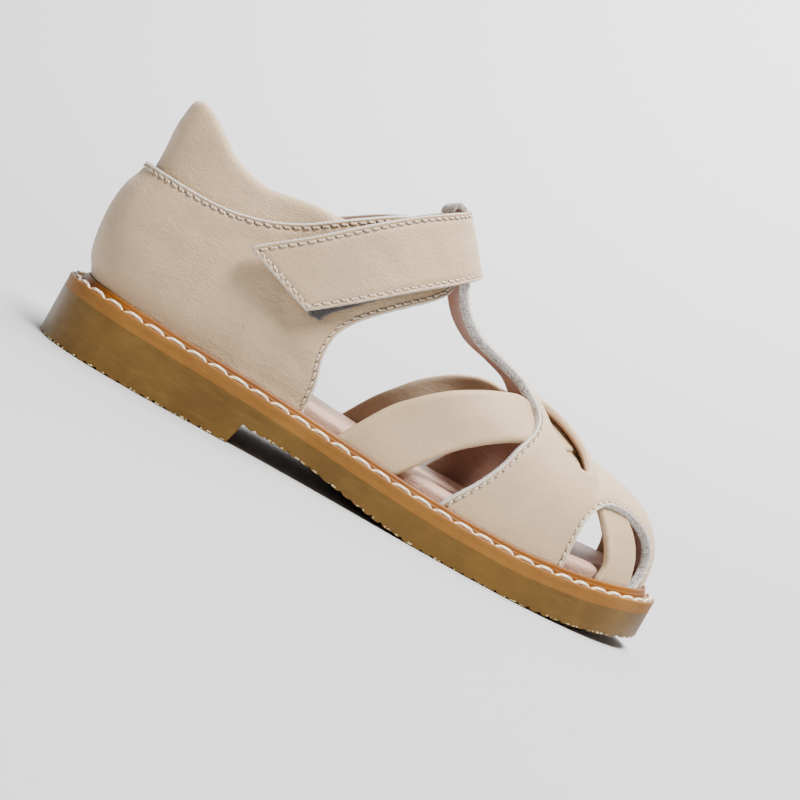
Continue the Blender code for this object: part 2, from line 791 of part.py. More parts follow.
def build_welt():
    """The flange round the upper with its raised rib, swept round the sole's outline."""
    section = (
        # inset, height above the welt's top edge
        (0.0, -FLANGE_THICKNESS),
        (0.0, 0.0),
        (RIB_INSET, 0.0),
        (RIB_INSET + 0.15 * RIB_WIDTH, 0.85 * RIB_HEIGHT),
        (RIB_INSET + 0.4 * RIB_WIDTH, RIB_HEIGHT),
        (RIB_INSET + 0.75 * RIB_WIDTH, RIB_HEIGHT),
        (RIB_INSET + RIB_WIDTH, 0.8 * RIB_HEIGHT),
        (RIB_INSET + RIB_WIDTH, -FLANGE_THICKNESS),
    )
    outer = ring(0.0)
    ahead = np.roll(outer, -1, 0) - np.roll(outer, 1, 0)
    inward = np.stack([-ahead[:, 1], ahead[:, 0]], -1)
    inward /= np.linalg.norm(inward, axis=1)[:, None]
    points, faces = [], []
    count, size = len(outer), len(section)
    for place, way in zip(outer, inward):
        for inset, height in section:
            x, y = place + way * inset
            points.append((x, y, float(welt_top(x)) + height))
    for i in range(count):
        for j in range(size):
            a, b = i * size + j, i * size + (j + 1) % size
            c, d = (i + 1) % count * size + (j + 1) % size, (i + 1) % count * size + j
            faces += [(a, b, c), (a, c, d)]
    return add("welt", *tidy(points, faces))


def build_insole():
    """The raised footbed inside the upper."""
    def top(x):
        return welt_top(x) + INSOLE_ABOVE_WELT

    return add("insole", *slab(INSOLE_INSET, top, welt_foot))


def mirrored(outline):
    """A pattern's outline on the other side of the ridge."""
    return np.asarray(outline)[::-1] * (1, -1)


def band_outline(rows, turn):
    """A band's outline, round its centre line. turn is the direction of its front foot, from the toe."""
    table = on_vamp(rows)
    line = table[:, :2]
    ahead = np.gradient(line, axis=0)
    aside = np.stack([-ahead[:, 1], ahead[:, 0]], -1)
    aside /= np.linalg.norm(aside, axis=1)[:, None]
    aside[0] = (1, 0)
    foot = np.array([math.cos(turn), math.sin(turn)])
    aside[-1] = (-foot[1], foot[0])
    left = line + aside * table[:, 2:]
    right = line - aside * table[:, 2:]
    left[0] = line[0] - (table[0, 2], 0)
    right[0] = line[0] + (table[0, 2], 0)
    return even_edge(np.vstack([right, left[::-1]]), EDGE_STEP)


def band_depth(sink, lift=0.0):
    """How deep a band lies below the vamp's outer face. It comes flush towards its feet. lift raises its inner rear."""
    def depth(flat):
        u, v = flat.T
        share = np.where(u > FAN_X, np.hypot(u - FAN_X, v), np.abs(v)) / HALF_GIRTH
        rear = np.clip((0.67 * SOLE_LENGTH - u) / (0.06 * SOLE_LENGTH), 0, 1) * (v > 0)
        return sink * np.clip((1 - share) / 0.3, 0, 1) - lift * rear * np.exp(-(((share - 0.45) / 0.22) ** 2))

    return depth


def quarter_outline():
    """The quarter's pattern: round the heel from the outer front edge to the inner one."""
    side = on_quarter(QUARTER_SIDE)
    start = len(UPPER_OUTER) - 1
    outer_x, outer_ring = HEEL_RING[: start + 1, 0][::-1], RING_LENGTH[: start + 1][::-1]
    inner_x, inner_ring = HEEL_RING[start:, 0], RING_LENGTH[start:]
    outer = np.column_stack([np.interp(side[:, 0], outer_x, outer_ring), side[:, 1]])
    inner = np.column_stack([np.interp(side[:, 0], inner_x, inner_ring), side[:, 1]])
    back = on_quarter([(-0.03, 0.6932), (0.03, 0.6932)])
    around = np.linspace(inner[0, 0], outer[0, 0], 40)
    foot_x = np.interp(around, RING_LENGTH, HEEL_RING[:, 0])
    foot = np.column_stack([around, welt_foot(foot_x)])
    return even_edge(np.vstack([foot, outer, back, inner[::-1]]), EDGE_STEP)


def collar_outline():
    """The padded collar's pattern, round the heel above and behind the quarter's edge."""
    top = on_quarter(COLLAR_TOP)
    upper = np.vstack([top[:0:-1] * (-1, 1), top])
    end = top[-1, 0]
    depths = [(x / SOLE_LENGTH, COLLAR_DEPTH + 0.045 * abs(x) / end) for x in np.linspace(end, -end, 21)]
    lower = on_quarter(depths)
    return even_edge(np.vstack([upper, lower]), EDGE_STEP)


def build_upper():
    """The quarter, the strap, the stem with its vamp panel and the two bands, joined where they cross."""
    quarter_piece = add("quarter", *laid(quarter, quarter_outline(), 0.0, LEATHER))
    strap = even_edge(on_strap(STRAP_OUTLINE), EDGE_STEP)
    strap_piece = add("strap", *laid(strap_ring, strap, 0.0, LEATHER))
    panel = even_edge(on_vamp(PANEL_OUTLINE), EDGE_STEP)
    slot = even_edge(on_vamp(SLOT_OUTLINE), 2.6 * MM)
    slots = (slot, mirrored(slot))
    panel_piece = add("panel", *laid(vamp, panel, 0.0, PANEL_THICKNESS, holes=slots))
    outline_a = band_outline(BAND_A_LINE, 0.60)
    outline_b = mirrored(band_outline(BAND_B_LINE, 0.86))
    band_a = add("band_a", *laid(band_last, outline_a, band_depth(BAND_SINK), LEATHER))
    band_b = add("band_b", *laid(band_last, outline_b, band_depth(UNDER_BAND_SINK, BAND_LIFT), LEATHER))
    return joined("upper", [panel_piece, band_b, band_a, quarter_piece, strap_piece])


def build_collar():
    """The padded collar inside the quarter, with its heel peak."""
    return add("collar", *laid(quarter, collar_outline(), LEATHER + 1.6 * GAP, COLLAR_THICKNESS))


def build_tape():
    """The hook-and-loop tape under the strap's free end."""
    outline = even_edge(on_strap(TAPE_OUTLINE), EDGE_STEP)
    return add("closure_tape", *laid(strap_ring, outline, LEATHER + GAP, TAPE_THICKNESS))


for old in list(bpy.data.objects):
    bpy.data.objects.remove(old, do_unlink=True)

build_outsole()
build_midsole()
build_welt()
build_insole()
build_upper()
build_collar()
build_tape()
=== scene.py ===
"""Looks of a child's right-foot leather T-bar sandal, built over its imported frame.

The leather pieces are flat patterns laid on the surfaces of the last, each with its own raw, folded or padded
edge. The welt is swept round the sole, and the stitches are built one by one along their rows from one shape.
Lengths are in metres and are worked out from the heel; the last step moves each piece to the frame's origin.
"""

import logging
import math
from dataclasses import dataclass, field
from enum import Enum
from typing import Callable, Sequence

import bpy
import numpy as np
from mathutils import Matrix, Vector, noise
from mathutils.geometry import delaunay_2d_cdt

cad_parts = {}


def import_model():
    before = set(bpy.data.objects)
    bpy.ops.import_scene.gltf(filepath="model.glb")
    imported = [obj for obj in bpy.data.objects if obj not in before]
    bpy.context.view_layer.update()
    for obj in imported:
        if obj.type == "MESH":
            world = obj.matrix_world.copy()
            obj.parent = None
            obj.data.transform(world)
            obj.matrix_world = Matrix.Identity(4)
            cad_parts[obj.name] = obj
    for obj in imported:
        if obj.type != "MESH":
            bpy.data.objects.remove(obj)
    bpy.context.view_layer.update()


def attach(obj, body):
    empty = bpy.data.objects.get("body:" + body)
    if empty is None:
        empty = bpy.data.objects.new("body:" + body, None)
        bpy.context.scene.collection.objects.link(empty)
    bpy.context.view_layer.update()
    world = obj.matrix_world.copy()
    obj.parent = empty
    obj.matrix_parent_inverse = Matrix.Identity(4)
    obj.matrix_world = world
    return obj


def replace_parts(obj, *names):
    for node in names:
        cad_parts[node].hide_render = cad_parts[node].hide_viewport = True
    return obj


LOG = logging.getLogger("sandal")
MM = 0.001
Array = np.ndarray
Surface = Callable[[Array], Array]


def smooth_table(table: Sequence[Sequence[float]], x: Array, column: int) -> Array:
    """Reads one column of a table through a monotone cubic.

    Args:
        table: Rows whose first column rises.
        x: Places in the first column.
        column: The column to read.

    Returns:
        The column's values at x.
    """
    rows = np.array(table, float)
    xs, ys = rows[:, 0], rows[:, column]
    slope = np.diff(ys) / np.diff(xs)
    product = slope[:-1] * slope[1:]
    total = slope[:-1] + slope[1:]
    inner = np.where(product > 0, 2 * product / np.where(total == 0, 1, total), 0)
    tangent = np.concatenate([slope[:1], inner, slope[-1:]])
    x = np.clip(np.asarray(x, float), xs[0], xs[-1])
    i = np.clip(np.searchsorted(xs, x, side="right") - 1, 0, len(xs) - 2)
    step = xs[i + 1] - xs[i]
    t = (x - xs[i]) / step
    return (
        (2 * t**3 - 3 * t**2 + 1) * ys[i]
        + (t**3 - 2 * t**2 + t) * step * tangent[i]
        + (3 * t**2 - 2 * t**3) * ys[i + 1]
        + (t**3 - t**2) * step * tangent[i + 1]
    )


def resampled(line: Array, count: int) -> Array:
    """Puts points at equal steps along a polyline.

    Args:
        line: The polyline's points.
        count: How many points to return.

    Returns:
        The new points, with the same two ends.
    """
    line = np.asarray(line, float)
    length = np.concatenate([[0], np.cumsum(np.linalg.norm(np.diff(line, axis=0), axis=1))])
    at = np.linspace(0, length[-1], count)
    return np.stack([np.interp(at, length, column) for column in line.T], -1)


def closed_curve(points: Array, count: int) -> Array:
    """Samples a closed Catmull-Rom curve at equal steps.

    Args:
        points: The points that it passes through.
        count: How many points to return.

    Returns:
        The curve's points, without the first one again at the end.
    """
    p = np.array(points, float)
    before, after, beyond = np.roll(p, 1, 0), np.roll(p, -1, 0), np.roll(p, -2, 0)
    t = np.linspace(0, 1, 24, endpoint=False)[:, None, None]
    dense = 0.5 * (
        2 * p
        + (after - before) * t
        + (2 * before - 5 * p + 4 * after - beyond) * t**2
        + (3 * p - before - 3 * after + beyond) * t**3
    )
    dense = dense.transpose(1, 0, 2).reshape(-1, 2)
    return resampled(np.vstack([dense, dense[:1]]), count + 1)[:-1]


def open_curve(points: Array, per_run: int = 16) -> Array:
    """Samples an open Catmull-Rom curve.

    Args:
        points: The points that it passes through.
        per_run: How many samples there are between two points.

    Returns:
        The curve's points.
    """
    run = np.asarray(points, float)
    if len(run) == 2:
        return run
    p = np.vstack([2 * run[0] - run[1], run, 2 * run[-1] - run[-2]])
    t = np.linspace(0, 1, per_run, endpoint=False)[None, :, None]
    a, b, c, d = (q[:, None] for q in (p[:-3], p[1:-2], p[2:-1], p[3:]))
    curve = 0.5 * (2 * b + (c - a) * t + (2 * a - 5 * b + 4 * c - d) * t**2 + (3 * b - a - 3 * c + d) * t**3)
    return np.vstack([curve.reshape(-1, run.shape[1]), run[-1:]])


def even_edge(polygon: Array, step: float) -> Array:
    """Puts points at equal steps on each run of a polygon between its sharp corners.

    Args:
        polygon: The polygon's points.
        step: The distance between two new points.

    Returns:
        The new polygon.
    """
    p = np.asarray(polygon, float)
    back, ahead = p - np.roll(p, 1, 0), np.roll(p, -1, 0) - p
    cos = (back * ahead).sum(1) / np.linalg.norm(back, axis=1) / np.linalg.norm(ahead, axis=1)
    corners = np.where(cos < math.cos(math.radians(48)))[0]
    if len(corners) == 0:
        return closed_curve(p, max(8, round(np.linalg.norm(ahead, axis=1).sum() / step)))
    runs = []
    for start, end in zip(corners, np.roll(corners, -1)):
        if end <= start:
            end += len(p)
        curve = open_curve(p[np.arange(start, end + 1) % len(p)])
        length = np.linalg.norm(np.diff(curve, axis=0), axis=1).sum()
        runs.append(resampled(curve, max(2, round(length / step) + 1))[:-1])
    return np.vstack(runs)


def inside(points: Array, polygon: Array) -> Array:
    """Says which points lie inside a polygon."""
    x, y = np.asarray(points).T[:, :, None]
    a, b = polygon, np.roll(polygon, -1, 0)
    crosses = (a[:, 1] > y) != (b[:, 1] > y)
    rise = np.where(b[:, 1] == a[:, 1], 1, b[:, 1] - a[:, 1])
    left = x < a[:, 0] + (y - a[:, 1]) * (b[:, 0] - a[:, 0]) / rise
    return (crosses & left).sum(1) % 2 == 1


def clearance(points: Array, polygon: Array) -> Array:
    """Measures how far points are from a polygon's edge."""
    a, b = polygon, np.roll(polygon, -1, 0)
    along = b - a
    square = np.maximum((along**2).sum(-1), 1e-18)
    found = []
    for part in np.array_split(np.asarray(points), max(1, len(points) // 1500)):
        p = part[:, None]
        t = np.clip(((p - a) * along).sum(-1) / square, 0, 1)
        found.append(np.sqrt(((p - a - t[..., None] * along) ** 2).sum(-1)).min(1))
    return np.concatenate(found)


def inward(polygon: Array) -> Array:
    """Gives the unit directions that point into a polygon at each of its points."""
    ahead = np.roll(polygon, -1, 0) - np.roll(polygon, 1, 0)
    way = np.stack([-ahead[:, 1], ahead[:, 0]], -1)
    way /= np.linalg.norm(way, axis=1)[:, None]
    x, y = polygon.T
    area = (x * np.roll(y, -1) - np.roll(x, -1) * y).sum()
    return way if area > 0 else -way


def staggered_grid(polygon: Array, step: float) -> Array:
    """Gives an even grid of points over a polygon's box, with every other row moved by half a step."""
    low, high = polygon.min(0), polygon.max(0)
    rows = np.arange(low[1] + step / 2, high[1], step * 0.866)
    across = np.arange(low[0], high[0], step)
    return np.array([(x + (i % 2) * step / 2, y) for i, y in enumerate(rows) for x in across])


def triangulated(points: Array, edges: list[tuple[int, int]]) -> tuple[Array, Array]:
    """Joins flat points with triangles.

    Args:
        points: The flat points.
        edges: Pairs of points that stay joined.

    Returns:
        The points and the triangles between them.
    """
    found = delaunay_2d_cdt([Vector(p / MM) for p in points], edges, [], 0, 1e-6)
    return np.array([tuple(v) for v in found[0]]) * MM, np.array([tuple(f) for f in found[2]])


def open_edges(faces: Array) -> list[tuple[int, int]]:
    """Gives the edges that only one triangle has."""
    pairs = np.vstack([faces[:, (0, 1)], faces[:, (1, 2)], faces[:, (2, 0)]])
    known = set(map(tuple, pairs.tolist()))
    return [pair for pair in known if pair[::-1] not in known]


def eased(value: Array, low: float, high: float) -> Array:
    """Goes smoothly from 0 at low to 1 at high."""
    t = np.clip((value - low) / (high - low), 0, 1)
    return t * t * (3 - 2 * t)


def centred(points: Array) -> Array:
    """Moves points from the heel to the frame's origin, under the middle of the sole."""
    moved = np.asarray(points, float).copy()
    moved[:, 0] -= Last.LENGTH / 2
    return moved


class Last:
    """The last and the sole as surfaces: every piece takes its place from here."""

    LENGTH = 168 * MM
    WIDTH = 66 * MM
    HEEL = 50 * MM
    BREAST = 1.5 * MM
    ARCH = 5.2 * MM
    SPRING = 4.4 * MM
    WELT = 15.4 * MM
    FLANGE = 1.3 * MM
    MIDSOLE = 1.5 * MM
    RIB_INSET = 2.9 * MM
    RIB_WIDTH = 1.2 * MM
    RIB_HEIGHT = 1.8 * MM
    INSOLE_RISE = 4.6 * MM
    LEATHER = 2.0 * MM
    PANEL = 2.2 * MM
    GAP = 0.3 * MM
    RIDGE = 44 * MM
    FAN_AT = 0.804
    GIRTH = 50 * MM
    HEEL_SWELL = 4.2 * MM
    SIDE_SWELL = 1.4 * MM
    STRAP_WIDTH = 16 * MM
    UPPER_INSET = RIB_INSET + RIB_WIDTH + GAP
    INSOLE_INSET = UPPER_INSET + PANEL + 3 * GAP
    CENTRE = (0.268 * LENGTH, 0.909 * RIDGE)
    APEX = (0.4677 * LENGTH, 1.5489 * RIDGE)
    PITCH = math.atan2(APEX[1] - CENTRE[1], APEX[0] - CENTRE[0])
    REACH = math.dist(CENTRE, APEX)
    HALF_WIDTH = 0.412 * WIDTH - UPPER_INSET
    LIFT_SIDE = 4.4 * MM
    LIFT_TOP = 3.8 * MM
    LIFT_INNER = 1.2 * MM

    SOLE = (
        (0.0, 0.0, 0.0), (0.012, 0.165, 0.165), (0.04, 0.272, 0.268), (0.09, 0.35, 0.342), (0.16, 0.392, 0.38),
        (0.25, 0.404, 0.378), (0.35, 0.41, 0.352), (0.45, 0.432, 0.342), (0.55, 0.468, 0.38),
        (0.64, 0.495, 0.446), (0.7, 0.5, 0.484), (0.76, 0.487, 0.5), (0.83, 0.44, 0.486), (0.89, 0.368, 0.44),
        (0.94, 0.275, 0.368), (0.975, 0.17, 0.275), (0.994, 0.06, 0.175), (1.0, -0.045, 0.045),
    )
    WELT_LINE = (
        (0.0, 1.0), (0.24, 0.895), (0.34, 0.835), (0.44, 0.75), (0.54, 0.67), (0.65, 0.625), (0.72, 0.625),
        (0.79, 0.668), (0.85, 0.72), (0.89, 0.775), (1.0, 0.93),
    )
    TREAD_LINE = (
        (0.31, 1.0, 0.0), (0.38, 0.9, 0.0), (0.46, 0.55, 0.0), (0.54, 0.15, 0.0), (0.6, 0.0, 0.0),
        (0.74, 0.0, 0.0), (0.82, 0.0, 0.12), (0.91, 0.0, 0.47), (1.0, 0.0, 1.0),
    )
    RIDGE_LINE = (
        (0.455, 1.735, 1.0, 0.0), (0.473, 1.64, 0.98, 0.0), (0.488, 1.54, 0.94, 0.0), (0.497, 1.455, 0.88, 0.0),
        (0.505, 1.375, 0.8, 0.0), (0.516, 1.305, 0.7, 0.0), (0.529, 1.245, 0.62, 0.0),
        (0.545, 1.195, 0.56, 0.0), (0.561, 1.16, 0.53, 0.0), (0.601, 1.118, 0.5, 0.004),
        (0.635, 1.084, 0.5, 0.008), (0.667, 1.04, 0.54, 0.012), (0.716, 1.0, 0.58, 0.018),
        (0.745, 0.97, 0.6, 0.021), (0.771, 0.93, 0.62, 0.024), (0.79, 0.886, 0.63, 0.026),
        (0.804, 0.848, 0.64, 0.028),
    )
    BAND_RIDGE_LINE = (
        (0.4, 1.24, 0.46, 0.0), (0.5, 1.19, 0.46, 0.0), (0.56, 1.145, 0.47, 0.0),
        (0.601, 1.112, 0.48, 0.004),
    ) + RIDGE_LINE[10:]
    SWELL = (
        (-0.1227, 0.0, 0.0), (0.0227, 0.0, 0.0), (0.0591, 0.119, 0.286), (0.15, 0.619, 0.714),
        (0.2864, 0.929, 1.0), (0.4227, 1.0, 1.0), (0.5591, 0.833, 0.571), (0.6955, 0.381, -0.143),
        (0.8318, 0.405, -1.0), (0.9682, 0.476, -1.714), (1.0818, 0.357, -2.143), (1.4682, -0.238, -3.214),
    )

    def __init__(self) -> None:
        """Works out the sole's outline and the foot line of the upper."""
        table = np.array(self.SOLE) * (self.LENGTH, self.WIDTH, self.WIDTH)
        self._points = np.vstack([table[:, (0, 1)] * (1, -1), table[-2:0:-1, (0, 2)]])
        edge = self.sole_edge(self.UPPER_INSET)
        toe = int(edge[:, 0].argmax())
        self.outer = edge[: toe + 1]
        self.inner = np.vstack([edge[toe:], edge[:1]])[::-1]
        self.fan_x = self.FAN_AT * self.LENGTH
        self.fan_y = self.WIDTH * self.RIDGE_LINE[-1][3]
        self.ring = np.vstack([self.outer[::-1], self.inner[1:]])
        steps = np.linalg.norm(np.diff(self.ring, axis=0), axis=1)
        self.ring_at = np.concatenate([[0], np.cumsum(steps)])
        self.ring_at = self.ring_at - self.ring_at[len(self.outer) - 1]
        self.up_strap = np.array([math.cos(self.PITCH), math.sin(self.PITCH)])
        self.across_strap = np.array([math.sin(self.PITCH), -math.cos(self.PITCH)])

    def sole_edge(self, inset: float, count: int = 720) -> Array:
        """Gives the sole's closed outline.

        Args:
            inset: How far it is moved in.
            count: How many points it has.

        Returns:
            The points, from the heel round the outer side first.
        """
        edge = closed_curve(self._points, count)
        ahead = np.roll(edge, -1, 0) - np.roll(edge, 1, 0)
        way = np.stack([-ahead[:, 1], ahead[:, 0]], -1)
        moved = edge + inset * way / np.linalg.norm(way, axis=1)[:, None]
        return np.roll(moved, -int(moved[:, 0].argmin()), 0)

    def welt_top(self, x: Array) -> Array:
        """Gives the height of the welt's top edge."""
        return self.WELT * smooth_table(self.WELT_LINE, x / self.LENGTH, 1)

    def welt_foot(self, x: Array) -> Array:
        """Gives the height of the welt's underside."""
        return self.welt_top(x) - self.FLANGE

    def tread(self, x: Array) -> Array:
        """Gives the height of the outsole's underside."""
        along = x / self.LENGTH
        arched = self.ARCH * smooth_table(self.TREAD_LINE, along, 1) + self.SPRING * smooth_table(
            self.TREAD_LINE, along, 2
        )
        return np.clip((x - self.HEEL) / self.BREAST, 0, 1) * arched

    def _fan_reach(self, angle: Array) -> Array:
        """Gives how far the upper's foot is from the fan's centre, by direction."""
        ring = np.vstack([self.outer, self.inner[::-1]]) - (self.fan_x, self.fan_y)
        ring = ring[ring[:, 0] > -20 * MM]
        angles = np.arctan2(ring[:, 1], ring[:, 0])
        order = angles.argsort()
        return np.interp(angle, angles[order], np.linalg.norm(ring[order], axis=1))

    def vamp(self, flat: Array, line: Sequence[Sequence[float]] = RIDGE_LINE) -> Array:
        """Lays flat points on the vamp's outer face.

        Args:
            flat: Points as (along from the heel, across from the ridge).
            line: The table of the ridge.

        Returns:
            The points in space.
        """
        u, v = np.asarray(flat, float).T
        fan = u > self.fan_x
        side = np.where(v < 0, -1.0, 1.0)
        angle = np.arctan2(v, np.maximum(u - self.fan_x, 0))
        across = np.where(fan, np.hypot(u - self.fan_x, v), np.abs(v)) / self.GIRTH
        share = np.minimum(u, self.fan_x) / self.LENGTH
        centre_y = self.WIDTH * smooth_table(line, share, 3)
        outer = np.interp(u, self.outer[:, 0], self.outer[:, 1]) - centre_y
        inner = np.interp(u, self.inner[:, 0], self.inner[:, 1]) - centre_y
        reach = np.where(fan, self._fan_reach(angle), np.where(side < 0, -outer, inner))
        ahead = np.stack([np.cos(angle), np.sin(angle)], -1)
        way = np.where(fan[:, None], ahead, np.stack([0 * side, side], -1))
        centre = np.stack([np.minimum(u, self.fan_x), centre_y], -1)
        foot = self.welt_foot((centre + way * reach[:, None])[:, 0])
        rise = self.RIDGE * smooth_table(line, share, 1) - foot
        boxy = smooth_table(line, share, 2)
        turn = math.pi / 2 * (1 - (1 - np.linspace(0, 1, 90)) ** 2.5)
        out = reach[:, None] * np.sin(turn)
        up = rise[:, None] * np.maximum(np.cos(turn), 0) ** boxy[:, None]
        steps = np.hypot(np.diff(out, axis=1), np.diff(up, axis=1)).cumsum(axis=1)
        girth = np.concatenate([np.zeros((len(u), 1)), steps], axis=1) / steps[:, -1:]
        found = np.array(
            [(np.interp(a, g, o), np.interp(a, g, h)) for a, g, o, h in zip(across, girth, out, up)]
        )
        beyond = np.maximum(across - 1, 0) * self.GIRTH
        plan = centre + way * found[:, :1]
        return np.column_stack([plan, foot + found[:, 1] - beyond])

    def band(self, flat: Array) -> Array:
        """Lays flat points on the surface that the bands lie on."""
        return self.vamp(flat, self.BAND_RIDGE_LINE)

    def quarter(self, flat: Array) -> Array:
        """Lays points, given as (distance round the heel, height), on the quarter's outer face."""
        round_heel, height = np.asarray(flat, float).T
        ahead = np.gradient(self.ring, axis=0)
        outward = np.stack([-ahead[:, 1], ahead[:, 0]], -1)
        outward /= np.linalg.norm(outward, axis=1)[:, None]
        foot = np.stack([np.interp(round_heel, self.ring_at, c) for c in self.ring.T], -1)
        way = np.stack([np.interp(round_heel, self.ring_at, c) for c in outward.T], -1)
        back = np.clip(-way[:, 0], 0, 1) ** 1.5
        level = (height - self.WELT) / self.RIDGE
        swell = back * self.HEEL_SWELL * smooth_table(self.SWELL, level, 1)
        swell += (1 - back) * self.SIDE_SWELL * smooth_table(self.SWELL, level, 2)
        plan = foot + way * swell[:, None]
        up = (plan[:, 0] - self.CENTRE[0]) * self.up_strap[0] + (height - self.CENTRE[1]) * self.up_strap[1]
        wrap = np.clip(up / self.REACH, 0, 0.985)
        settled = eased(wrap, 0.0, 0.3)
        half = np.abs(plan[:, 1]) * (1 - settled) + self.HALF_WIDTH * settled
        plan[:, 1] = np.sign(plan[:, 1]) * half * np.sqrt(1 - wrap**2)
        return np.column_stack([plan, height])

    def strap(self, flat: Array) -> Array:
        """Lays points, given as (distance over the instep, distance across), on the strap's outer face."""
        along, across = np.asarray(flat, float).T
        turn = np.linspace(0, math.pi, 241)
        lift = np.where(turn < math.pi / 2, self.LIFT_SIDE, self.LIFT_INNER)
        half = self.HALF_WIDTH + lift + (self.LIFT_TOP - lift) * np.sin(turn) ** 2
        reach = (self.REACH + self.LIFT_TOP) * np.sin(turn)
        side = -half * np.cos(turn)
        length = np.concatenate([[0], np.cumsum(np.hypot(np.diff(reach), np.diff(side)))])
        up = np.interp(along, length, reach) + np.minimum(along, 0) - np.maximum(along - length[-1], 0)
        y = np.interp(along, length, side)
        x = self.CENTRE[0] + up * self.up_strap[0] + across * self.across_strap[0]
        z = self.CENTRE[1] + up * self.up_strap[1] + across * self.across_strap[1]
        return np.column_stack([x, y, z])

    def normal(self, surface: Surface, flat: Array) -> Array:
        """Gives the directions that point out of a surface.

        Args:
            surface: The function that lays flat points.
            flat: The flat points.

        Returns:
            Unit vectors, away from the middle of the shoe.
        """
        reach = 0.4 * MM
        ahead = surface(flat + (reach, 0)) - surface(flat - (reach, 0))
        aside = surface(flat + (0, reach)) - surface(flat - (0, reach))
        way = np.cross(ahead, aside)
        way /= np.maximum(np.linalg.norm(way, axis=1), 1e-12)[:, None]
        top = surface(flat)
        core = top * (1, 0, 0) + (0, 0, 28 * MM)
        return way if ((top - core) * way).sum() > 0 else -way


LAST = Last()


@dataclass(frozen=True)
class EdgeStyle:
    """How a leather piece ends.

    Attributes:
        outer: Heights of the outer face in mm, by distance from the edge in mm.
        inner: How far the inner face is raised in mm, by distance from the edge in mm.
        wall: Loops down the side, as (share of the thickness, mm outward).
        ragged: How far the side's loops wander, in mm.
        raw: Whether the side shows the cut leather.
    """

    outer: tuple[tuple[float, float], ...]
    inner: tuple[tuple[float, float], ...]
    wall: tuple[tuple[float, float], ...]
    ragged: float = 0.0
    raw: bool = False


class Edges(Enum):
    """The ends that the leather pieces have."""

    RAW = EdgeStyle(
        outer=((0, -0.02), (0.14, 0.2), (0.34, 0.26), (0.62, 0.1), (0.82, -0.08), (1.02, -0.2), (1.26, -0.24),
               (1.5, -0.16), (1.75, -0.02), (2.1, 0.06), (2.9, 0.03), (4.0, 0.0)),
        inner=((0, 0.1), (0.3, 0.0)),
        wall=((0.3, 0.14), (0.62, 0.12)),
        ragged=0.07,
        raw=True,
    )
    PLAIN = EdgeStyle(
        outer=((0, -0.3), (0.15, -0.12), (0.4, 0.0)),
        inner=((0, 0.1), (0.3, 0.0)),
        wall=((0.3, 0.08), (0.62, 0.08)),
        ragged=0.03,
        raw=True,
    )
    FOLDED = EdgeStyle(
        outer=((0, -0.86), (0.08, -0.56), (0.2, -0.34), (0.4, -0.13), (0.7, 0.03), (1.1, 0.12), (1.7, 0.1),
               (2.4, 0.02), (3.4, 0.0)),
        inner=((0, 0.6), (0.15, 0.3), (0.4, 0.1), (0.9, 0.0)),
        wall=((0.5, 0.1),),
    )
    PADDED = EdgeStyle(
        outer=((0, -1.5), (0.12, -1.1), (0.35, -0.72), (0.8, -0.32), (1.5, -0.08), (2.6, 0.04), (4.5, 0.0)),
        inner=((0, 1.4), (0.12, 1.05), (0.35, 0.7), (0.8, 0.34), (1.5, 0.1), (2.8, 0.0)),
        wall=((0.5, 0.12),),
    )


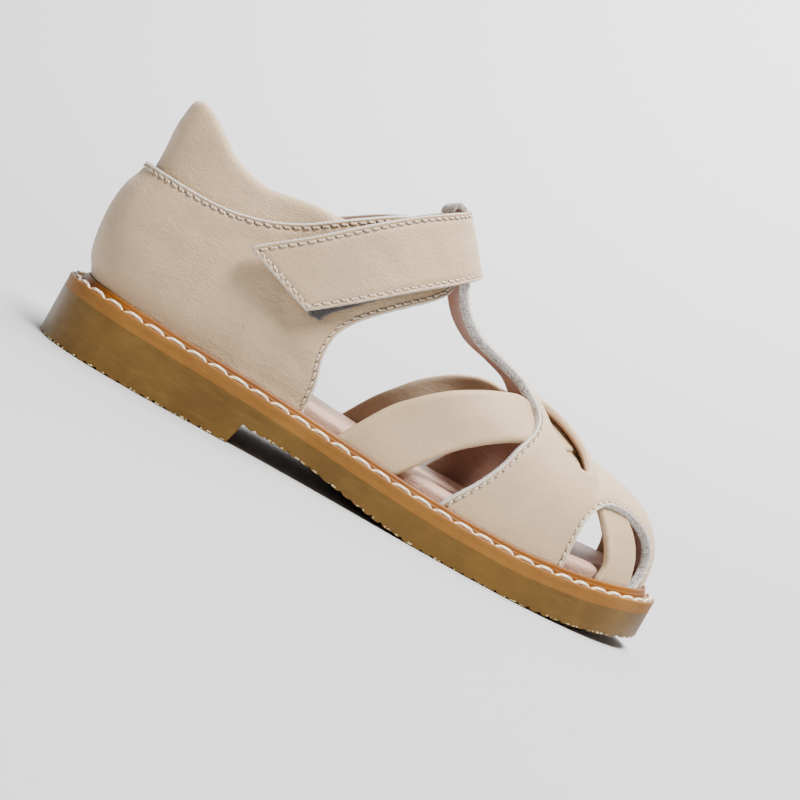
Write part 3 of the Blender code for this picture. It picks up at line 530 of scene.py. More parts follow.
@dataclass
class Sheet:
    """A leather piece: a flat pattern, laid on a surface of the last.

    Attributes:
        surface: Lays flat points on the last.
        outline: The pattern's edge.
        edge: How the pattern ends there.
        thickness: The leather's thickness.
        depth: How deep each flat point lies below the surface.
        holes: Openings in the pattern.
        hole_edge: How the pattern ends at its openings.
        relief: Heights that the outer face has besides, by flat point.
        step: The distance between two points inside the pattern.
        edge_step: The distance between two points on its edge.
        rings: Distances in mm of the loops of points along its edges.
    """

    surface: Surface
    outline: Array
    edge: EdgeStyle
    thickness: float
    depth: Callable[[Array], Array] = lambda flat: np.zeros(len(flat))
    holes: tuple[Array, ...] = ()
    hole_edge: EdgeStyle = Edges.FOLDED.value
    relief: Callable[[Array], Array] = lambda flat: np.zeros(len(flat))
    step: float = 1.15 * MM
    edge_step: float = 0.62 * MM
    rings: tuple[float, ...] = (0.14, 0.34, 0.62, 0.82, 1.02, 1.26, 1.5, 1.8, 2.2, 2.9)
    _outline: Array = field(init=False)
    _holes: list[Array] = field(init=False)

    def __post_init__(self) -> None:
        """Makes the edges even."""
        self._outline = even_edge(self.outline, self.edge_step)
        self._holes = [even_edge(hole, self.edge_step) for hole in self.holes]

    def distances(self, flat: Array) -> tuple[Array, Array]:
        """Measures how far flat points are from the outline and from the openings."""
        outer = clearance(flat, self._outline)
        if not self._holes:
            return outer, np.full(len(flat), 1.0)
        return outer, np.min([clearance(flat, hole) for hole in self._holes], axis=0)

    def outer_face(self, flat: Array, raised: float = 0.0) -> tuple[Array, Array]:
        """Gives places on the outer face.

        Args:
            flat: Flat points.
            raised: A height above the face.

        Returns:
            The places and the directions out of the face.
        """
        way = LAST.normal(self.surface, flat)
        from_edge, from_hole = self.distances(flat)
        height = self.relief(flat) - self.depth(flat) + raised
        for style, distance in ((self.edge, from_edge), (self.hole_edge, from_hole)):
            height = height + np.interp(distance / MM, *np.array(style.outer).T) * MM
        return self.surface(flat) + way * height[:, None], way

    def _free_points(self) -> Array:
        """Gives the flat points inside the edges: rings along them, and an even grid."""
        found = []
        edges = [self._outline, *self._holes]
        for index, edge in enumerate(edges):
            way = inward(edge) * (1 if index == 0 else -1)
            for number, ring in enumerate(self.rings):
                stride = 1 if number < 6 else 2
                points = (edge + way * ring * MM)[number % 2 :: stride]
                found.append(points[self._room(points) > (ring - 0.03) * MM])
        grid = staggered_grid(self._outline, self.step)
        grid = grid[inside(grid, self._outline)]
        found.append(grid[self._room(grid) > (self.rings[-1] + 0.55) * MM])
        return np.vstack(found)

    def _room(self, points: Array) -> Array:
        """Measures how far points inside the pattern are from any edge; outside it is negative."""
        if len(points) == 0:
            return np.zeros(0)
        outer, hole = self.distances(points)
        room = np.minimum(outer, hole)
        bad = ~inside(points, self._outline)
        for edge in self._holes:
            bad |= inside(points, edge)
        return np.where(bad, -1.0, room)

    def _triangles(self) -> tuple[Array, Array]:
        """Gives the pattern's flat points and the triangles between them."""
        edges, points = [], []
        for ring in (self._outline, *self._holes):
            first = sum(len(p) for p in points)
            edges += [(first + i, first + (i + 1) % len(ring)) for i in range(len(ring))]
            points.append(ring)
        points.append(self._free_points())
        flat, faces = triangulated(np.vstack(points), edges)
        middle = flat[faces].mean(1)
        kept = inside(middle, self._outline)
        for hole in self._holes:
            kept &= ~inside(middle, hole)
        return flat, faces[kept]

    def _wall(self, outer: Array, inner: Array, outward: Array, style_of: Array) -> list[Array]:
        """Gives the loops of points down the side.

        Args:
            outer: The outer face's points along the edges.
            inner: The inner face's points below them.
            outward: The directions away from the leather there.
            style_of: 0 along the outline and 1 along an opening.

        Returns:
            The loops, from the outer face to the inner one.
        """
        loops = []
        for step in range(max(len(self.edge.wall), len(self.hole_edge.wall) if self._holes else 0)):
            wander = np.array([noise.noise(Vector(p) * 900 + Vector((step * 7.0, 0, 0))) for p in outer])
            made = np.zeros((len(outer), 3))
            for kind, style in enumerate((self.edge, self.hole_edge)):
                share, out = style.wall[min(step, len(style.wall) - 1)]
                if len(style.wall) <= step:
                    share = share + (1 - share) * 0.5
                reach = (out + style.ragged * wander) * MM
                spot = outer * (1 - share) + inner * share + outward * reach[:, None]
                made = np.where((style_of == kind)[:, None], spot, made)
            loops.append(made)
        return loops

    def build(self, name: str) -> bpy.types.Object:
        """Makes the piece.

        Args:
            name: The object's name.

        Returns:
            The object. Its material slots are the outer face, the side and the inner face.
        """
        flat, faces = self._triangles()
        count = len(flat)
        outer, way = self.outer_face(flat)
        from_edge, from_hole = self.distances(flat)
        raised = np.interp(from_edge / MM, *np.array(self.edge.inner).T)
        raised += np.interp(from_hole / MM, *np.array(self.hole_edge.inner).T)
        sunk = self.depth(flat) + self.thickness - raised * MM
        inner = self.surface(flat) - way * sunk[:, None]
        rim = open_edges(faces)
        order = sorted({a for a, _ in rim})
        place = {index: number for number, index in enumerate(order)}
        seat = np.array(order)
        style_of = np.where(from_edge[seat] <= from_hole[seat], 0, 1)
        outward = self._outward(flat[seat], seat, rim, place, outer)
        loops = self._wall(outer[seat], inner[seat], outward, style_of)
        levels = [dict(zip(order, order))]
        for number in range(len(loops)):
            first = 2 * count + number * len(seat)
            levels.append({index: first + spot for index, spot in place.items()})
        levels.append({index: index + count for index in order})
        mesh_faces = [tuple(f) for f in faces.tolist()]
        mesh_faces += [tuple(count + i for i in f[::-1]) for f in faces.tolist()]
        slots = [0] * len(faces) + [2] * len(faces)
        for upper, lower in zip(levels[:-1], levels[1:]):
            for a, b in rim:
                mesh_faces.append((upper[b], upper[a], lower[a], lower[b]))
                style = (self.edge, self.hole_edge)[style_of[place[a]]]
                slots.append(1 if style.raw else 0)
        spots = np.vstack([outer, inner, *loops])
        spots[:, 2] = np.maximum(spots[:, 2], LAST.welt_foot(spots[:, 0]))
        piece = make_piece(name, spots, mesh_faces, slots)
        away = 10 * MM
        distance = np.minimum(from_edge + (0 if self.edge.raw else away), from_hole + away) / MM
        distances = [distance, distance] + [distance[seat]] * len(loops)
        rim_distance = piece.data.attributes.new("rim", "FLOAT", "POINT")
        rim_distance.data.foreach_set("value", np.concatenate(distances).astype(np.float32))
        return piece

    def _outward(self, flat: Array, seat: Array, rim: list, place: dict, outer: Array) -> Array:
        """Gives the directions that point away from the leather at its edge, in space."""
        ahead = np.zeros((len(seat), 3))
        for a, b in rim:
            step = outer[b] - outer[a]
            ahead[place[a]] += step
            if b in place:
                ahead[place[b]] += step
        way = LAST.normal(self.surface, flat)
        side = np.cross(ahead, way)
        side /= np.maximum(np.linalg.norm(side, axis=1), 1e-12)[:, None]
        return side * self._turn(flat, side)

    def _turn(self, flat: Array, side: Array) -> float:
        """Says whether the side directions point away from the leather (1) or into it (-1)."""
        spot = inward(self._outline)[len(self._outline) // 3]
        start = self._outline[len(self._outline) // 3]
        number = int(np.linalg.norm(flat - start, axis=1).argmin())
        into = self.surface((start + spot * 0.5 * MM)[None])[0] - self.surface(start[None])[0]
        return -1.0 if side[number] @ into > 0 else 1.0


def make_piece(
    name: str,
    points: Array,
    faces: Sequence[Sequence[int]],
    slots: Sequence[int] | None = None,
    crisp: float = 180.0,
) -> bpy.types.Object:
    """Makes an object with its faces turned outward and shaded smooth.

    Args:
        name: The object's name.
        points: Its vertices, measured from the heel.
        faces: Its faces.
        slots: The material slot of each face.
        crisp: Edges sharper than this many degrees stay crisp.

    Returns:
        The object.
    """
    mesh = bpy.data.meshes.new(name)
    mesh.from_pydata(centred(points).tolist(), [], [list(face) for face in faces])
    if slots is not None:
        mesh.polygons.foreach_set("material_index", np.asarray(slots, np.int32))
    mesh.validate()
    piece = bpy.data.objects.new(name, mesh)
    bpy.context.scene.collection.objects.link(piece)
    bpy.ops.object.select_all(action="DESELECT")
    piece.select_set(True)
    bpy.context.view_layer.objects.active = piece
    bpy.ops.object.mode_set(mode="EDIT")
    bpy.ops.mesh.select_all(action="SELECT")
    bpy.ops.mesh.normals_make_consistent(inside=False)
    bpy.ops.object.mode_set(mode="OBJECT")
    if crisp < 180:
        bpy.ops.object.shade_smooth_by_angle(angle=math.radians(crisp))
    else:
        bpy.ops.object.shade_smooth()
    piece.select_set(False)
    return piece


@dataclass(frozen=True)
class Thread:
    """A sewing thread's stitch.

    Attributes:
        length: From end to end.
        pitch: From one stitch to the next.
        radius: Of the thread.
        arch: How high the middle stands above the leather.
        dip: How deep the ends go.
        slant: The turn away from the row, in degrees.
    """

    length: float
    pitch: float
    radius: float
    arch: float
    dip: float
    slant: float = 0.0


class Tubes:
    """Collects short closed tubes of thread into one mesh."""

    SIDES = 8

    def __init__(self) -> None:
        """Starts with no tubes."""
        self.points: list[Array] = []
        self.faces: list[tuple[int, ...]] = []
        self.uv: list[tuple[float, float]] = []
        self.total = 0

    def add(self, centres: Array, ways: Array, radii: Array) -> None:
        """Adds one tube.

        Args:
            centres: The points of its middle line.
            ways: Directions out of the surface that it lies on.
            radii: Its radius at each point.
        """
        ahead = np.gradient(centres, axis=0)
        ahead /= np.maximum(np.linalg.norm(ahead, axis=1), 1e-12)[:, None]
        side = np.cross(ahead, ways)
        side /= np.maximum(np.linalg.norm(side, axis=1), 1e-12)[:, None]
        up = np.cross(side, ahead)
        turn = np.linspace(0, 2 * math.pi, self.SIDES, endpoint=False)
        rings = centres[:, None] + radii[:, None, None] * (
            side[:, None] * np.cos(turn)[None, :, None] + up[:, None] * np.sin(turn)[None, :, None]
        )
        count, sides = len(centres), self.SIDES
        first = self.total
        ends = np.array([centres[0] - ahead[0] * radii[0] * 0.6, centres[-1] + ahead[-1] * radii[-1] * 0.6])
        self.points.append(np.vstack([rings.reshape(-1, 3), ends]))
        for i in range(count - 1):
            for j in range(sides):
                a, b = first + i * sides + j, first + i * sides + (j + 1) % sides
                self.faces.append((a, b, b + sides, a + sides))
        last = first + (count - 1) * sides
        for j in range(sides):
            self.faces.append((first + (j + 1) % sides, first + j, first + count * sides))
            self.faces.append((last + j, last + (j + 1) % sides, first + count * sides + 1))
        length = np.concatenate([[0], np.cumsum(np.linalg.norm(np.diff(centres, axis=0), axis=1))]) / MM
        self.uv += [(length[i], j / sides) for i in range(count) for j in range(sides)]
        self.uv += [(length[0], 0.5), (length[-1], 0.5)]
        self.total += count * sides + 2

    def build(self, name: str) -> bpy.types.Object:
        """Makes the mesh of all tubes, with the length along and the turn as its UV map."""
        piece = make_piece(name, np.vstack(self.points), self.faces)
        layer = piece.data.uv_layers.new(name="thread")
        index = np.empty(len(piece.data.loops), np.int32)
        piece.data.loops.foreach_get("vertex_index", index)
        layer.data.foreach_set("uv", np.array(self.uv, np.float32)[index].ravel())
        return piece


class StitchRow:
    """A row of sewn stitches along a line on a leather piece, with dark lenses of painted shade at the holes that
    they go into.
    """

    def __init__(self, thread: Thread, seed: int) -> None:
        """Starts with no rows.

        Args:
            thread: The stitches' thread.
            seed: The seed of the small differences between stitches.
        """
        self.thread = thread
        self.random = np.random.default_rng(seed)
        self.tubes = Tubes()
        self.holes: list[Array] = []
        self.hole_faces: list[tuple[int, ...]] = []
        self.hole_total = 0

    def sew(self, sheet: Sheet, line: Array, into: float = 1.0) -> None:
        """Sews along a flat line.

        Args:
            sheet: The leather piece.
            line: The flat points of the row.
            into: The side that the slant turns to.
        """
        thread = self.thread
        line = np.asarray(line, float)
        spots = sheet.surface(line)
        length = np.concatenate([[0], np.cumsum(np.linalg.norm(np.diff(spots, axis=0), axis=1))])
        count = max(1, round(length[-1] / thread.pitch))
        at = (np.arange(count) + 0.5) * length[-1] / count
        at += self.random.normal(0, 0.05 * MM, count)
        centre = np.stack([np.interp(at, length, column) for column in line.T], -1)
        ahead = np.stack([np.interp(at + 0.3 * MM, length, c) for c in line.T], -1)
        ahead -= np.stack([np.interp(at - 0.3 * MM, length, c) for c in line.T], -1)
        ahead /= np.maximum(np.linalg.norm(ahead, axis=1), 1e-12)[:, None]
        turn = np.radians(thread.slant + self.random.normal(0, 3, count)) * into
        way = np.stack(
            [ahead[:, 0] * np.cos(turn) - ahead[:, 1] * np.sin(turn),
             ahead[:, 0] * np.sin(turn) + ahead[:, 1] * np.cos(turn)], -1,
        )
        t = np.array([-1, -0.86, -0.6, -0.3, 0, 0.3, 0.6, 0.86, 1])
        flat = centre[:, None] + way[:, None] * t[None, :, None] * thread.length / 2
        places, normals = sheet.outer_face(flat.reshape(-1, 2))
        places, normals = places.reshape(count, len(t), 3), normals.reshape(count, len(t), 3)
        height = thread.arch * (1 - t**2) - thread.dip * np.abs(t) ** 5
        shape = thread.radius * (1 - 0.25 * np.abs(t) ** 3)
        for number in range(count):
            grown = 1 + self.random.normal(0, 0.05)
            middle = places[number] + normals[number] * height[:, None] * grown
            self.tubes.add(middle, normals[number], shape * grown)
            for end in (0, len(t) - 1):
                self._hole(places[number, end], normals[number, end])

    def _hole(self, place: Array, way: Array) -> None:
        """Adds a flat closed lens of painted shade where a stitch's end goes into the leather."""
        side = np.cross(way, (0.31, 0.74, 0.59))
        side /= np.linalg.norm(side)
        up = np.cross(way, side)
        radius = self.thread.radius * 1.25
        turn = np.linspace(0, 2 * math.pi, 8, endpoint=False)
        ring = place + way * 0.015 * MM + radius * (np.cos(turn)[:, None] * side + np.sin(turn)[:, None] * up)
        poles = np.array([place + way * 0.045 * MM, place - way * 0.1 * MM])
        first = self.hole_total
        self.holes.append(np.vstack([ring, poles]))
        for i in range(8):
            j = (i + 1) % 8
            self.hole_faces.append((first + i, first + j, first + 8))
            self.hole_faces.append((first + j, first + i, first + 9))
        self.hole_total += 10

    def build(self, name: str) -> tuple[bpy.types.Object, bpy.types.Object]:
        """Makes the mesh of the threads and the mesh of the painted shade in their holes."""
        threads = self.tubes.build(name)
        holes = make_piece(name + "_holes", np.vstack(self.holes), self.hole_faces)
        return threads, holes


def runs_inside(sheet: Sheet, inset: float, keep: Callable[[Array], Array]) -> list[Array]:
    """Gives the flat lines that follow a sheet's outline inside it.

    Args:
        sheet: The leather piece.
        inset: The distance between the outline and the lines.
        keep: Says which flat points belong to a line.

    Returns:
        The lines, each without a gap.
    """
    edge = even_edge(sheet.outline, 0.5 * MM)
    line = edge + inward(edge) * inset
    good = keep(line) & inside(line, edge) & (clearance(line, edge) > 0.94 * inset)
    if good.all():
        return [np.vstack([line, line[:1]])]
    start = int(np.where(~good)[0][0])
    line, good = np.roll(line, -start, 0), np.roll(good, -start)
    found, run = [], []
    for point in line[good]:
        if run and np.linalg.norm(point - run[-1]) > 4.5 * MM:
            found.append(np.array(run))
            run = []
        run.append(point)
    found.append(np.array(run))
    return [one for one in found if len(one) > 6]


@dataclass(frozen=True)
class Crease:
    """A soft fold in the leather: a line of flat points in mm, its depth and its half width in mm."""

    points: tuple[tuple[float, float], ...]
    depth: float
    width: float


@dataclass(frozen=True)
class Relief:
    """How a leather face rises and falls by listed creases and a gentle unevenness.

    Attributes:
        creases: The folds.
        swing: The height of the unevenness in mm.
        size: Its size in mm, along and across.
        seed: The place in the noise that it is taken from.
    """

    creases: tuple[Crease, ...] = ()
    swing: float = 0.06
    size: tuple[float, float] = (9.0, 9.0)
    seed: float = 0.0

    def __call__(self, flat: Array) -> Array:
        """Gives the heights at flat points."""
        spots = np.asarray(flat) / MM
        height = np.zeros(len(spots))
        for crease in self.creases:
            line = open_curve(np.array(crease.points, float), 8)
            a, b = line[:-1], line[1:]
            along = b - a
            t = ((spots[:, None] - a) * along).sum(-1) / (along**2).sum(-1)
            near = a + np.clip(t, 0, 1)[..., None] * along
            away = np.linalg.norm(spots[:, None] - near, axis=-1)
            part = away.argmin(1)
            share = (part + np.clip(t[np.arange(len(spots)), part], 0, 1)) / len(a)
            fade = np.sin(math.pi * np.clip(share, 0.02, 0.98)) ** 0.6
            reach = away.min(1) / crease.width
            height -= crease.depth * fade * (np.exp(-(reach**2)) - 0.35 * np.exp(-((reach - 2) ** 2)))
        across = spots / self.size
        height += self.swing * np.array([noise.noise(Vector((x, y, self.seed))) for x, y in across])
        fine = spots / 2.6
        height += 0.2 * self.swing * np.array([noise.noise(Vector((x, y, self.seed + 9))) for x, y in fine])
        return height * MM


@dataclass
class Layer:
    """A layer of the sole, between two heights.

    Attributes:
        inset: How far its side stands inside the sole's outline.
        top: Gives the top's height at flat points.
        bottom: Gives the underside's height at flat points.
        wall: Loops down its side, as (share of the height, mm outward).
        step: The distance between two points inside it.
        rings: Distances in mm of the loops of points along the edge.
        lines: Places along the sole of straight lines of points across it.
        wander: How far the side's loops wander, in mm.
        count: How many points the outline has.
    """

    inset: float
    top: Callable[[Array], Array]
    bottom: Callable[[Array], Array]
    wall: tuple[tuple[float, float], ...]
    step: float = 2.0 * MM
    rings: tuple[float, ...] = (0.3, 0.8, 1.6)
    lines: tuple[float, ...] = ()
    wander: float = 0.0
    count: int = 560

    def _edge(self) -> tuple[Array, list[list[tuple[float, float]]]]:
        """Gives the outline with the ends of the straight lines added, and those lines."""
        edge = LAST.sole_edge(self.inset)
        edge = resampled(np.vstack([edge, edge[:1]]), self.count + 1)[:-1]
        points, lines = [tuple(p) for p in edge], []
        for x in self.lines:
            found: list[tuple[float, float]] = []
            index = 0
            while index < len(points):
                a, b = points[index], points[(index + 1) % len(points)]
                if (a[0] - x) * (b[0] - x) < 0:
                    share = (x - a[0]) / (b[0] - a[0])
                    found.append((x, a[1] + share * (b[1] - a[1])))
                    points.insert(index + 1, found[-1])
                    index += 1
                index += 1
            lines.append(found)
        return np.array(points), lines

    def build(self, name: str) -> bpy.types.Object:
        """Makes the layer. Its material slots are the top, the side and the underside."""
        edge, lines = self._edge()
        edges = [(i, (i + 1) % len(edge)) for i in range(len(edge))]
        points = [edge]
        for start, end in lines:
            line = resampled(np.array([start, end]), round(abs(start[1] - end[1]) / self.step) + 1)[1:-1]
            first = sum(len(p) for p in points)
            a = int(np.linalg.norm(edge - start, axis=1).argmin())
            b = int(np.linalg.norm(edge - end, axis=1).argmin())
            chain = [a, *range(first, first + len(line)), b]
            edges += list(zip(chain[:-1], chain[1:]))
            points.append(line)
        way = inward(edge)
        for number, ring in enumerate(self.rings):
            spots = (edge + way * ring * MM)[number % 2 :: 1 + (number > 1)]
            points.append(self._clear(spots, edge, (ring - 0.04) * MM))
        grid = staggered_grid(edge, self.step)
        points.append(self._clear(grid, edge, self.rings[-1] * MM + 0.5 * self.step))
        flat, faces = triangulated(np.vstack(points), edges)
        faces = faces[inside(flat[faces].mean(1), edge)]
        upper = np.column_stack([flat, self.top(flat)])
        lower = np.column_stack([flat, self.bottom(flat)])
        count, size = len(flat), len(edge)
        order = [int(np.linalg.norm(flat - p, axis=1).argmin()) for p in edge]
        levels, spots = [order], [upper, lower]
        total = 2 * count
        for share, out in self.wall:
            wander = np.array([noise.noise(Vector((p[0] * 260, p[1] * 260, share * 5))) for p in edge])
            ring = upper[order] * (1 - share) + lower[order] * share
            ring[:, :2] -= way * ((out + self.wander * wander) * MM)[:, None]
            spots.append(ring)
            levels.append(list(range(total, total + size)))
            total += size
        levels.append([index + count for index in order])
        mesh_faces = [tuple(f) for f in faces.tolist()]
        mesh_faces += [tuple(count + i for i in f[::-1]) for f in faces.tolist()]
        slots = [0] * len(faces) + [2] * len(faces)
        for above, below in zip(levels[:-1], levels[1:]):
            for i in range(size):
                j = (i + 1) % size
                mesh_faces.append((above[i], above[j], below[j], below[i]))
                slots.append(1)
        return make_piece(name, np.vstack(spots), mesh_faces, slots, crisp=42)

    def _clear(self, spots: Array, edge: Array, room: float) -> Array:
        """Keeps the points that are inside the outline, with room to it and to the straight lines."""
        kept = inside(spots, edge)
        kept &= clearance(spots, edge) > room
        for x in self.lines:
            kept &= np.abs(spots[:, 0] - x) > 0.45 * self.step
        return spots[kept]


def srgb(red: float, green: float, blue: float) -> tuple[float, float, float, float]:
    """Turns a colour of 0 to 255 into the linear values of a shader."""
    channels = [value / 255 for value in (red, green, blue)]
    linear = [c / 12.92 if c <= 0.04045 else ((c + 0.055) / 1.055) ** 2.4 for c in channels]
    return (*linear, 1.0)


class Graph:
    """A material's node tree with short ways to add nodes."""

    def __init__(self, name: str) -> None:
        """Makes a material with a principled shader.

        Args:
            name: The material's name.
        """
        self.material = bpy.data.materials.new(name)
        self.material.use_nodes = True
        self.tree = self.material.node_tree
        self.tree.nodes.clear()
        self.shader = self.tree.nodes.new("ShaderNodeBsdfPrincipled")
        output = self.tree.nodes.new("ShaderNodeOutputMaterial")
        self.tree.links.new(self.shader.outputs[0], output.inputs[0])
        self.place = self.tree.nodes.new("ShaderNodeTexCoord").outputs["Object"]

    def put(self, kind: str, inputs: dict | None = None, **settings: object) -> bpy.types.Node:
        """Adds a node.

        Args:
            kind: The node's type.
            inputs: Its input values or the sockets to link, by name or number.
            settings: Its properties.

        Returns:
            The node.
        """
        node = self.tree.nodes.new(kind)
        for key, value in settings.items():
            setattr(node, key, value)
        for key, value in (inputs or {}).items():
            self.feed(node.inputs[key], value)
        return node

    def feed(self, socket: bpy.types.NodeSocket, value: object) -> None:
        """Links a socket to another one, or sets its value."""
        if isinstance(value, bpy.types.NodeSocket):
            self.tree.links.new(value, socket)
        else:
            socket.default_value = value

    def noise(self, scale: float, detail: float = 3.0, rough: float = 0.5, at: object = None) -> object:
        """Gives a noise value between 0 and 1.

        Args:
            scale: Features in a metre.
            detail: Octaves.
            rough: The weight of the small octaves.
            at: The coordinates.

        Returns:
            The value's socket.
        """
        inputs = {"Vector": at or self.place, "Scale": scale, "Detail": detail, "Roughness": rough}
        return self.put("ShaderNodeTexNoise", inputs).outputs[0]

    def noise_colour(self, scale: float) -> object:
        """Gives a noise vector."""
        return self.put("ShaderNodeTexNoise", {"Vector": self.place, "Scale": scale, "Detail": 2.0}).outputs[1]

    def cells(self, scale: float, at: object = None, feature: str = "F1") -> object:
        """Gives the distance to the nearest cell point of a Voronoi pattern."""
        inputs = {"Vector": at or self.place, "Scale": scale}
        return self.put("ShaderNodeTexVoronoi", inputs, feature=feature).outputs["Distance"]

    def span(self, value: object, low: float, high: float, start: float = 0.0, end: float = 1.0) -> object:
        """Maps a value smoothly from one range to another."""
        inputs = {0: value, 1: low, 2: high, 3: start, 4: end}
        return self.put("ShaderNodeMapRange", inputs, interpolation_type="SMOOTHSTEP").outputs[0]

    def sums(self, operation: str, a: object, b: object = 0.0) -> object:
        """Joins two values with an operation."""
        return self.put("ShaderNodeMath", {0: a, 1: b}, operation=operation).outputs[0]

    def mix(self, share: object, a: object, b: object) -> object:
        """Mixes two colours."""
        node = self.put("ShaderNodeMix", data_type="RGBA", blend_type="MIX")
        self.feed(node.inputs[0], share)
        self.feed(node.inputs[6], a)
        self.feed(node.inputs[7], b)
        return node.outputs[2]

    def stretched(self, x: float, y: float, z: float) -> object:
        """Gives the object coordinates scaled by axis."""
        inputs = {"Vector": self.place, "Scale": (x, y, z)}
        return self.put("ShaderNodeMapping", inputs).outputs[0]

    def bump(self, height: object, distance: float, strength: float = 1.0, below: object = None) -> object:
        """Adds a bump over another one.

        Args:
            height: The height's socket.
            distance: The height of 1, in metres.
            strength: The bump's strength.
            below: The normal of the bump below.

        Returns:
            The normal's socket.
        """
        inputs = {"Height": height, "Distance": distance, "Strength": strength}
        if below is not None:
            inputs["Normal"] = below
        return self.put("ShaderNodeBump", inputs).outputs[0]

    def finish(self, colour: object, roughness: object, normal: object, **constants: float) -> bpy.types.Material:
        """Feeds the shader.

        Args:
            colour: The base colour.
            roughness: The roughness.
            normal: The bumped normal.
            constants: Other inputs of the shader by name, with _ for a space.

        Returns:
            The material.
        """
        self.feed(self.shader.inputs["Base Color"], colour)
        self.feed(self.shader.inputs["Roughness"], roughness)
        self.feed(self.shader.inputs["Normal"], normal)
        for key, value in constants.items():
            self.shader.inputs[key.replace("_", " ")].default_value = value
        return self.material


@dataclass(frozen=True)
class LeatherFinish:
    """A smooth or suede leather.

    Attributes:
        name: The material's name.
        colour: The grain side's colour.
        deep: The colour of its darker areas.
        rim: The colour of the cut or worn edge.
        roughness: How matt it is.
        pores: The height of the grain, in mm.
        folds: The height of the fine wrinkles, in mm.
        rim_width: How far the edge's colour reaches in, in mm.
        sheen: The weight of the fuzz on it.
        cell: Cells of the grain in a metre.
    """

    name: str
    colour: tuple[float, float, float]
    deep: tuple[float, float, float]
    rim: tuple[float, float, float]
    roughness: float = 0.5
    pores: float = 0.1
    folds: float = 0.1
    rim_width: float = 0.42
    sheen: float = 0.06
    cell: float = 2500.0

    def material(self) -> bpy.types.Material:
        """Builds the material."""
        g = Graph(self.name)
        broad = g.noise(42, 3, 0.55)
        fine = g.noise(900, 4, 0.6)
        colour = g.mix(g.span(broad, 0.32, 0.7), srgb(*self.deep), srgb(*self.colour))
        colour = g.mix(g.span(fine, 0.3, 0.75, 0.0, 0.16), colour, srgb(*(0.86 * c for c in self.colour)))
        rim = g.put("ShaderNodeAttribute", attribute_name="rim").outputs["Fac"]
        ragged = g.sums("ADD", rim, g.span(g.noise(1400, 3), 0.3, 0.7, -0.12, 0.12))
        at_rim = g.span(ragged, self.rim_width * 0.6, self.rim_width * 1.5, 1.0, 0.0)
        colour = g.mix(at_rim, colour, srgb(*self.rim))
        grain = g.sums("ADD", g.cells(self.cell), g.sums("MULTIPLY", g.noise(2 * self.cell, 2), 0.55))
        normal = g.bump(grain, self.pores * MM, 0.85)
        warp = g.put("ShaderNodeVectorMath", {0: g.noise_colour(240), "Scale": 0.006}, operation="SCALE").outputs[0]
        bent = g.put("ShaderNodeVectorMath", {0: g.stretched(1.0, 1.0, 1.9), 1: warp}, operation="ADD").outputs[0]
        split = g.span(g.cells(420, bent, "DISTANCE_TO_EDGE"), 0.0, 0.13)
        worn = g.span(g.noise(38, 3, 0.6), 0.42, 0.66)
        cracks = g.sums("MULTIPLY", g.sums("SUBTRACT", split, 1.0), worn)
        normal = g.bump(cracks, self.folds * 0.8 * MM, 0.8, normal)
        lines = g.noise(330, 5, 0.62, g.stretched(1.0, 1.0, 2.3))
        normal = g.bump(lines, self.folds * 4 * MM, 0.5, normal)
        ripples = g.noise(120, 2, 0.5, g.stretched(1.6, 1.0, 0.8))
        normal = g.bump(ripples, self.folds * 5 * MM, 0.35, normal)
        rough = g.span(g.noise(700, 3), 0.25, 0.75, self.roughness - 0.05, self.roughness + 0.07)
        return g.finish(
            colour, rough, normal, Sheen_Weight=self.sheen, Sheen_Roughness=0.5, Specular_IOR_Level=0.42
        )


@dataclass(frozen=True)
class CutFinish:
    """The cut edge of leather: loose fibres in a light coat of edge paint.

    Attributes:
        name: The material's name.
        colour: The fibres' colour.
        dark: The colour between them.
    """

    name: str
    colour: tuple[float, float, float]
    dark: tuple[float, float, float]

    def material(self) -> bpy.types.Material:
        """Builds the material."""
        g = Graph(self.name)
        fibres = g.noise(2600, 5, 0.7)
        patches = g.noise(420, 3, 0.6)
        colour = g.mix(g.span(fibres, 0.36, 0.62), srgb(*self.dark), srgb(*self.colour))
        colour = g.mix(g.span(patches, 0.5, 0.72, 0.0, 0.5), colour, srgb(*self.dark))
        normal = g.bump(fibres, 0.16 * MM, 0.9)
        return g.finish(colour, 0.78, normal, Sheen_Weight=0.25, Sheen_Roughness=0.6, Specular_IOR_Level=0.3)


@dataclass(frozen=True)
class ThreadFinish:
    """A waxed sewing thread, twisted from two plies.

    Attributes:
        name: The material's name.
        colour: The plies' colour.
        dark: The painted shade in the grooves between them, also mixed in at random along the fibres.
        twist: Turns in a millimetre.
    """

    name: str
    colour: tuple[float, float, float]
    dark: tuple[float, float, float]
    twist: float = 1.6

    def material(self) -> bpy.types.Material:
        """Builds the material."""
        g = Graph(self.name)
        uv = g.put("ShaderNodeUVMap", uv_map="thread").outputs[0]
        parts = g.put("ShaderNodeSeparateXYZ", {0: uv})
        along = g.sums("MULTIPLY", parts.outputs[0], self.twist)
        phase = g.sums("MULTIPLY", g.sums("ADD", along, g.sums("MULTIPLY", parts.outputs[1], 2.0)), 2 * math.pi)
        plies = g.span(g.sums("SINE", phase), -1, 1)
        fibres = g.noise(4200, 4, 0.7)
        # Painted shade darkens the grooves between the plies.
        colour = g.mix(g.span(plies, 0.0, 0.4), srgb(*self.dark), srgb(*self.colour))
        colour = g.mix(g.span(fibres, 0.35, 0.6, 0.22, 0.0), colour, srgb(*self.dark))
        normal = g.bump(g.sums("ADD", plies, g.sums("MULTIPLY", fibres, 0.5)), 0.12 * MM, 0.8)
        return g.finish(colour, 0.6, normal, Sheen_Weight=0.3, Sheen_Roughness=0.4, Specular_IOR_Level=0.35)


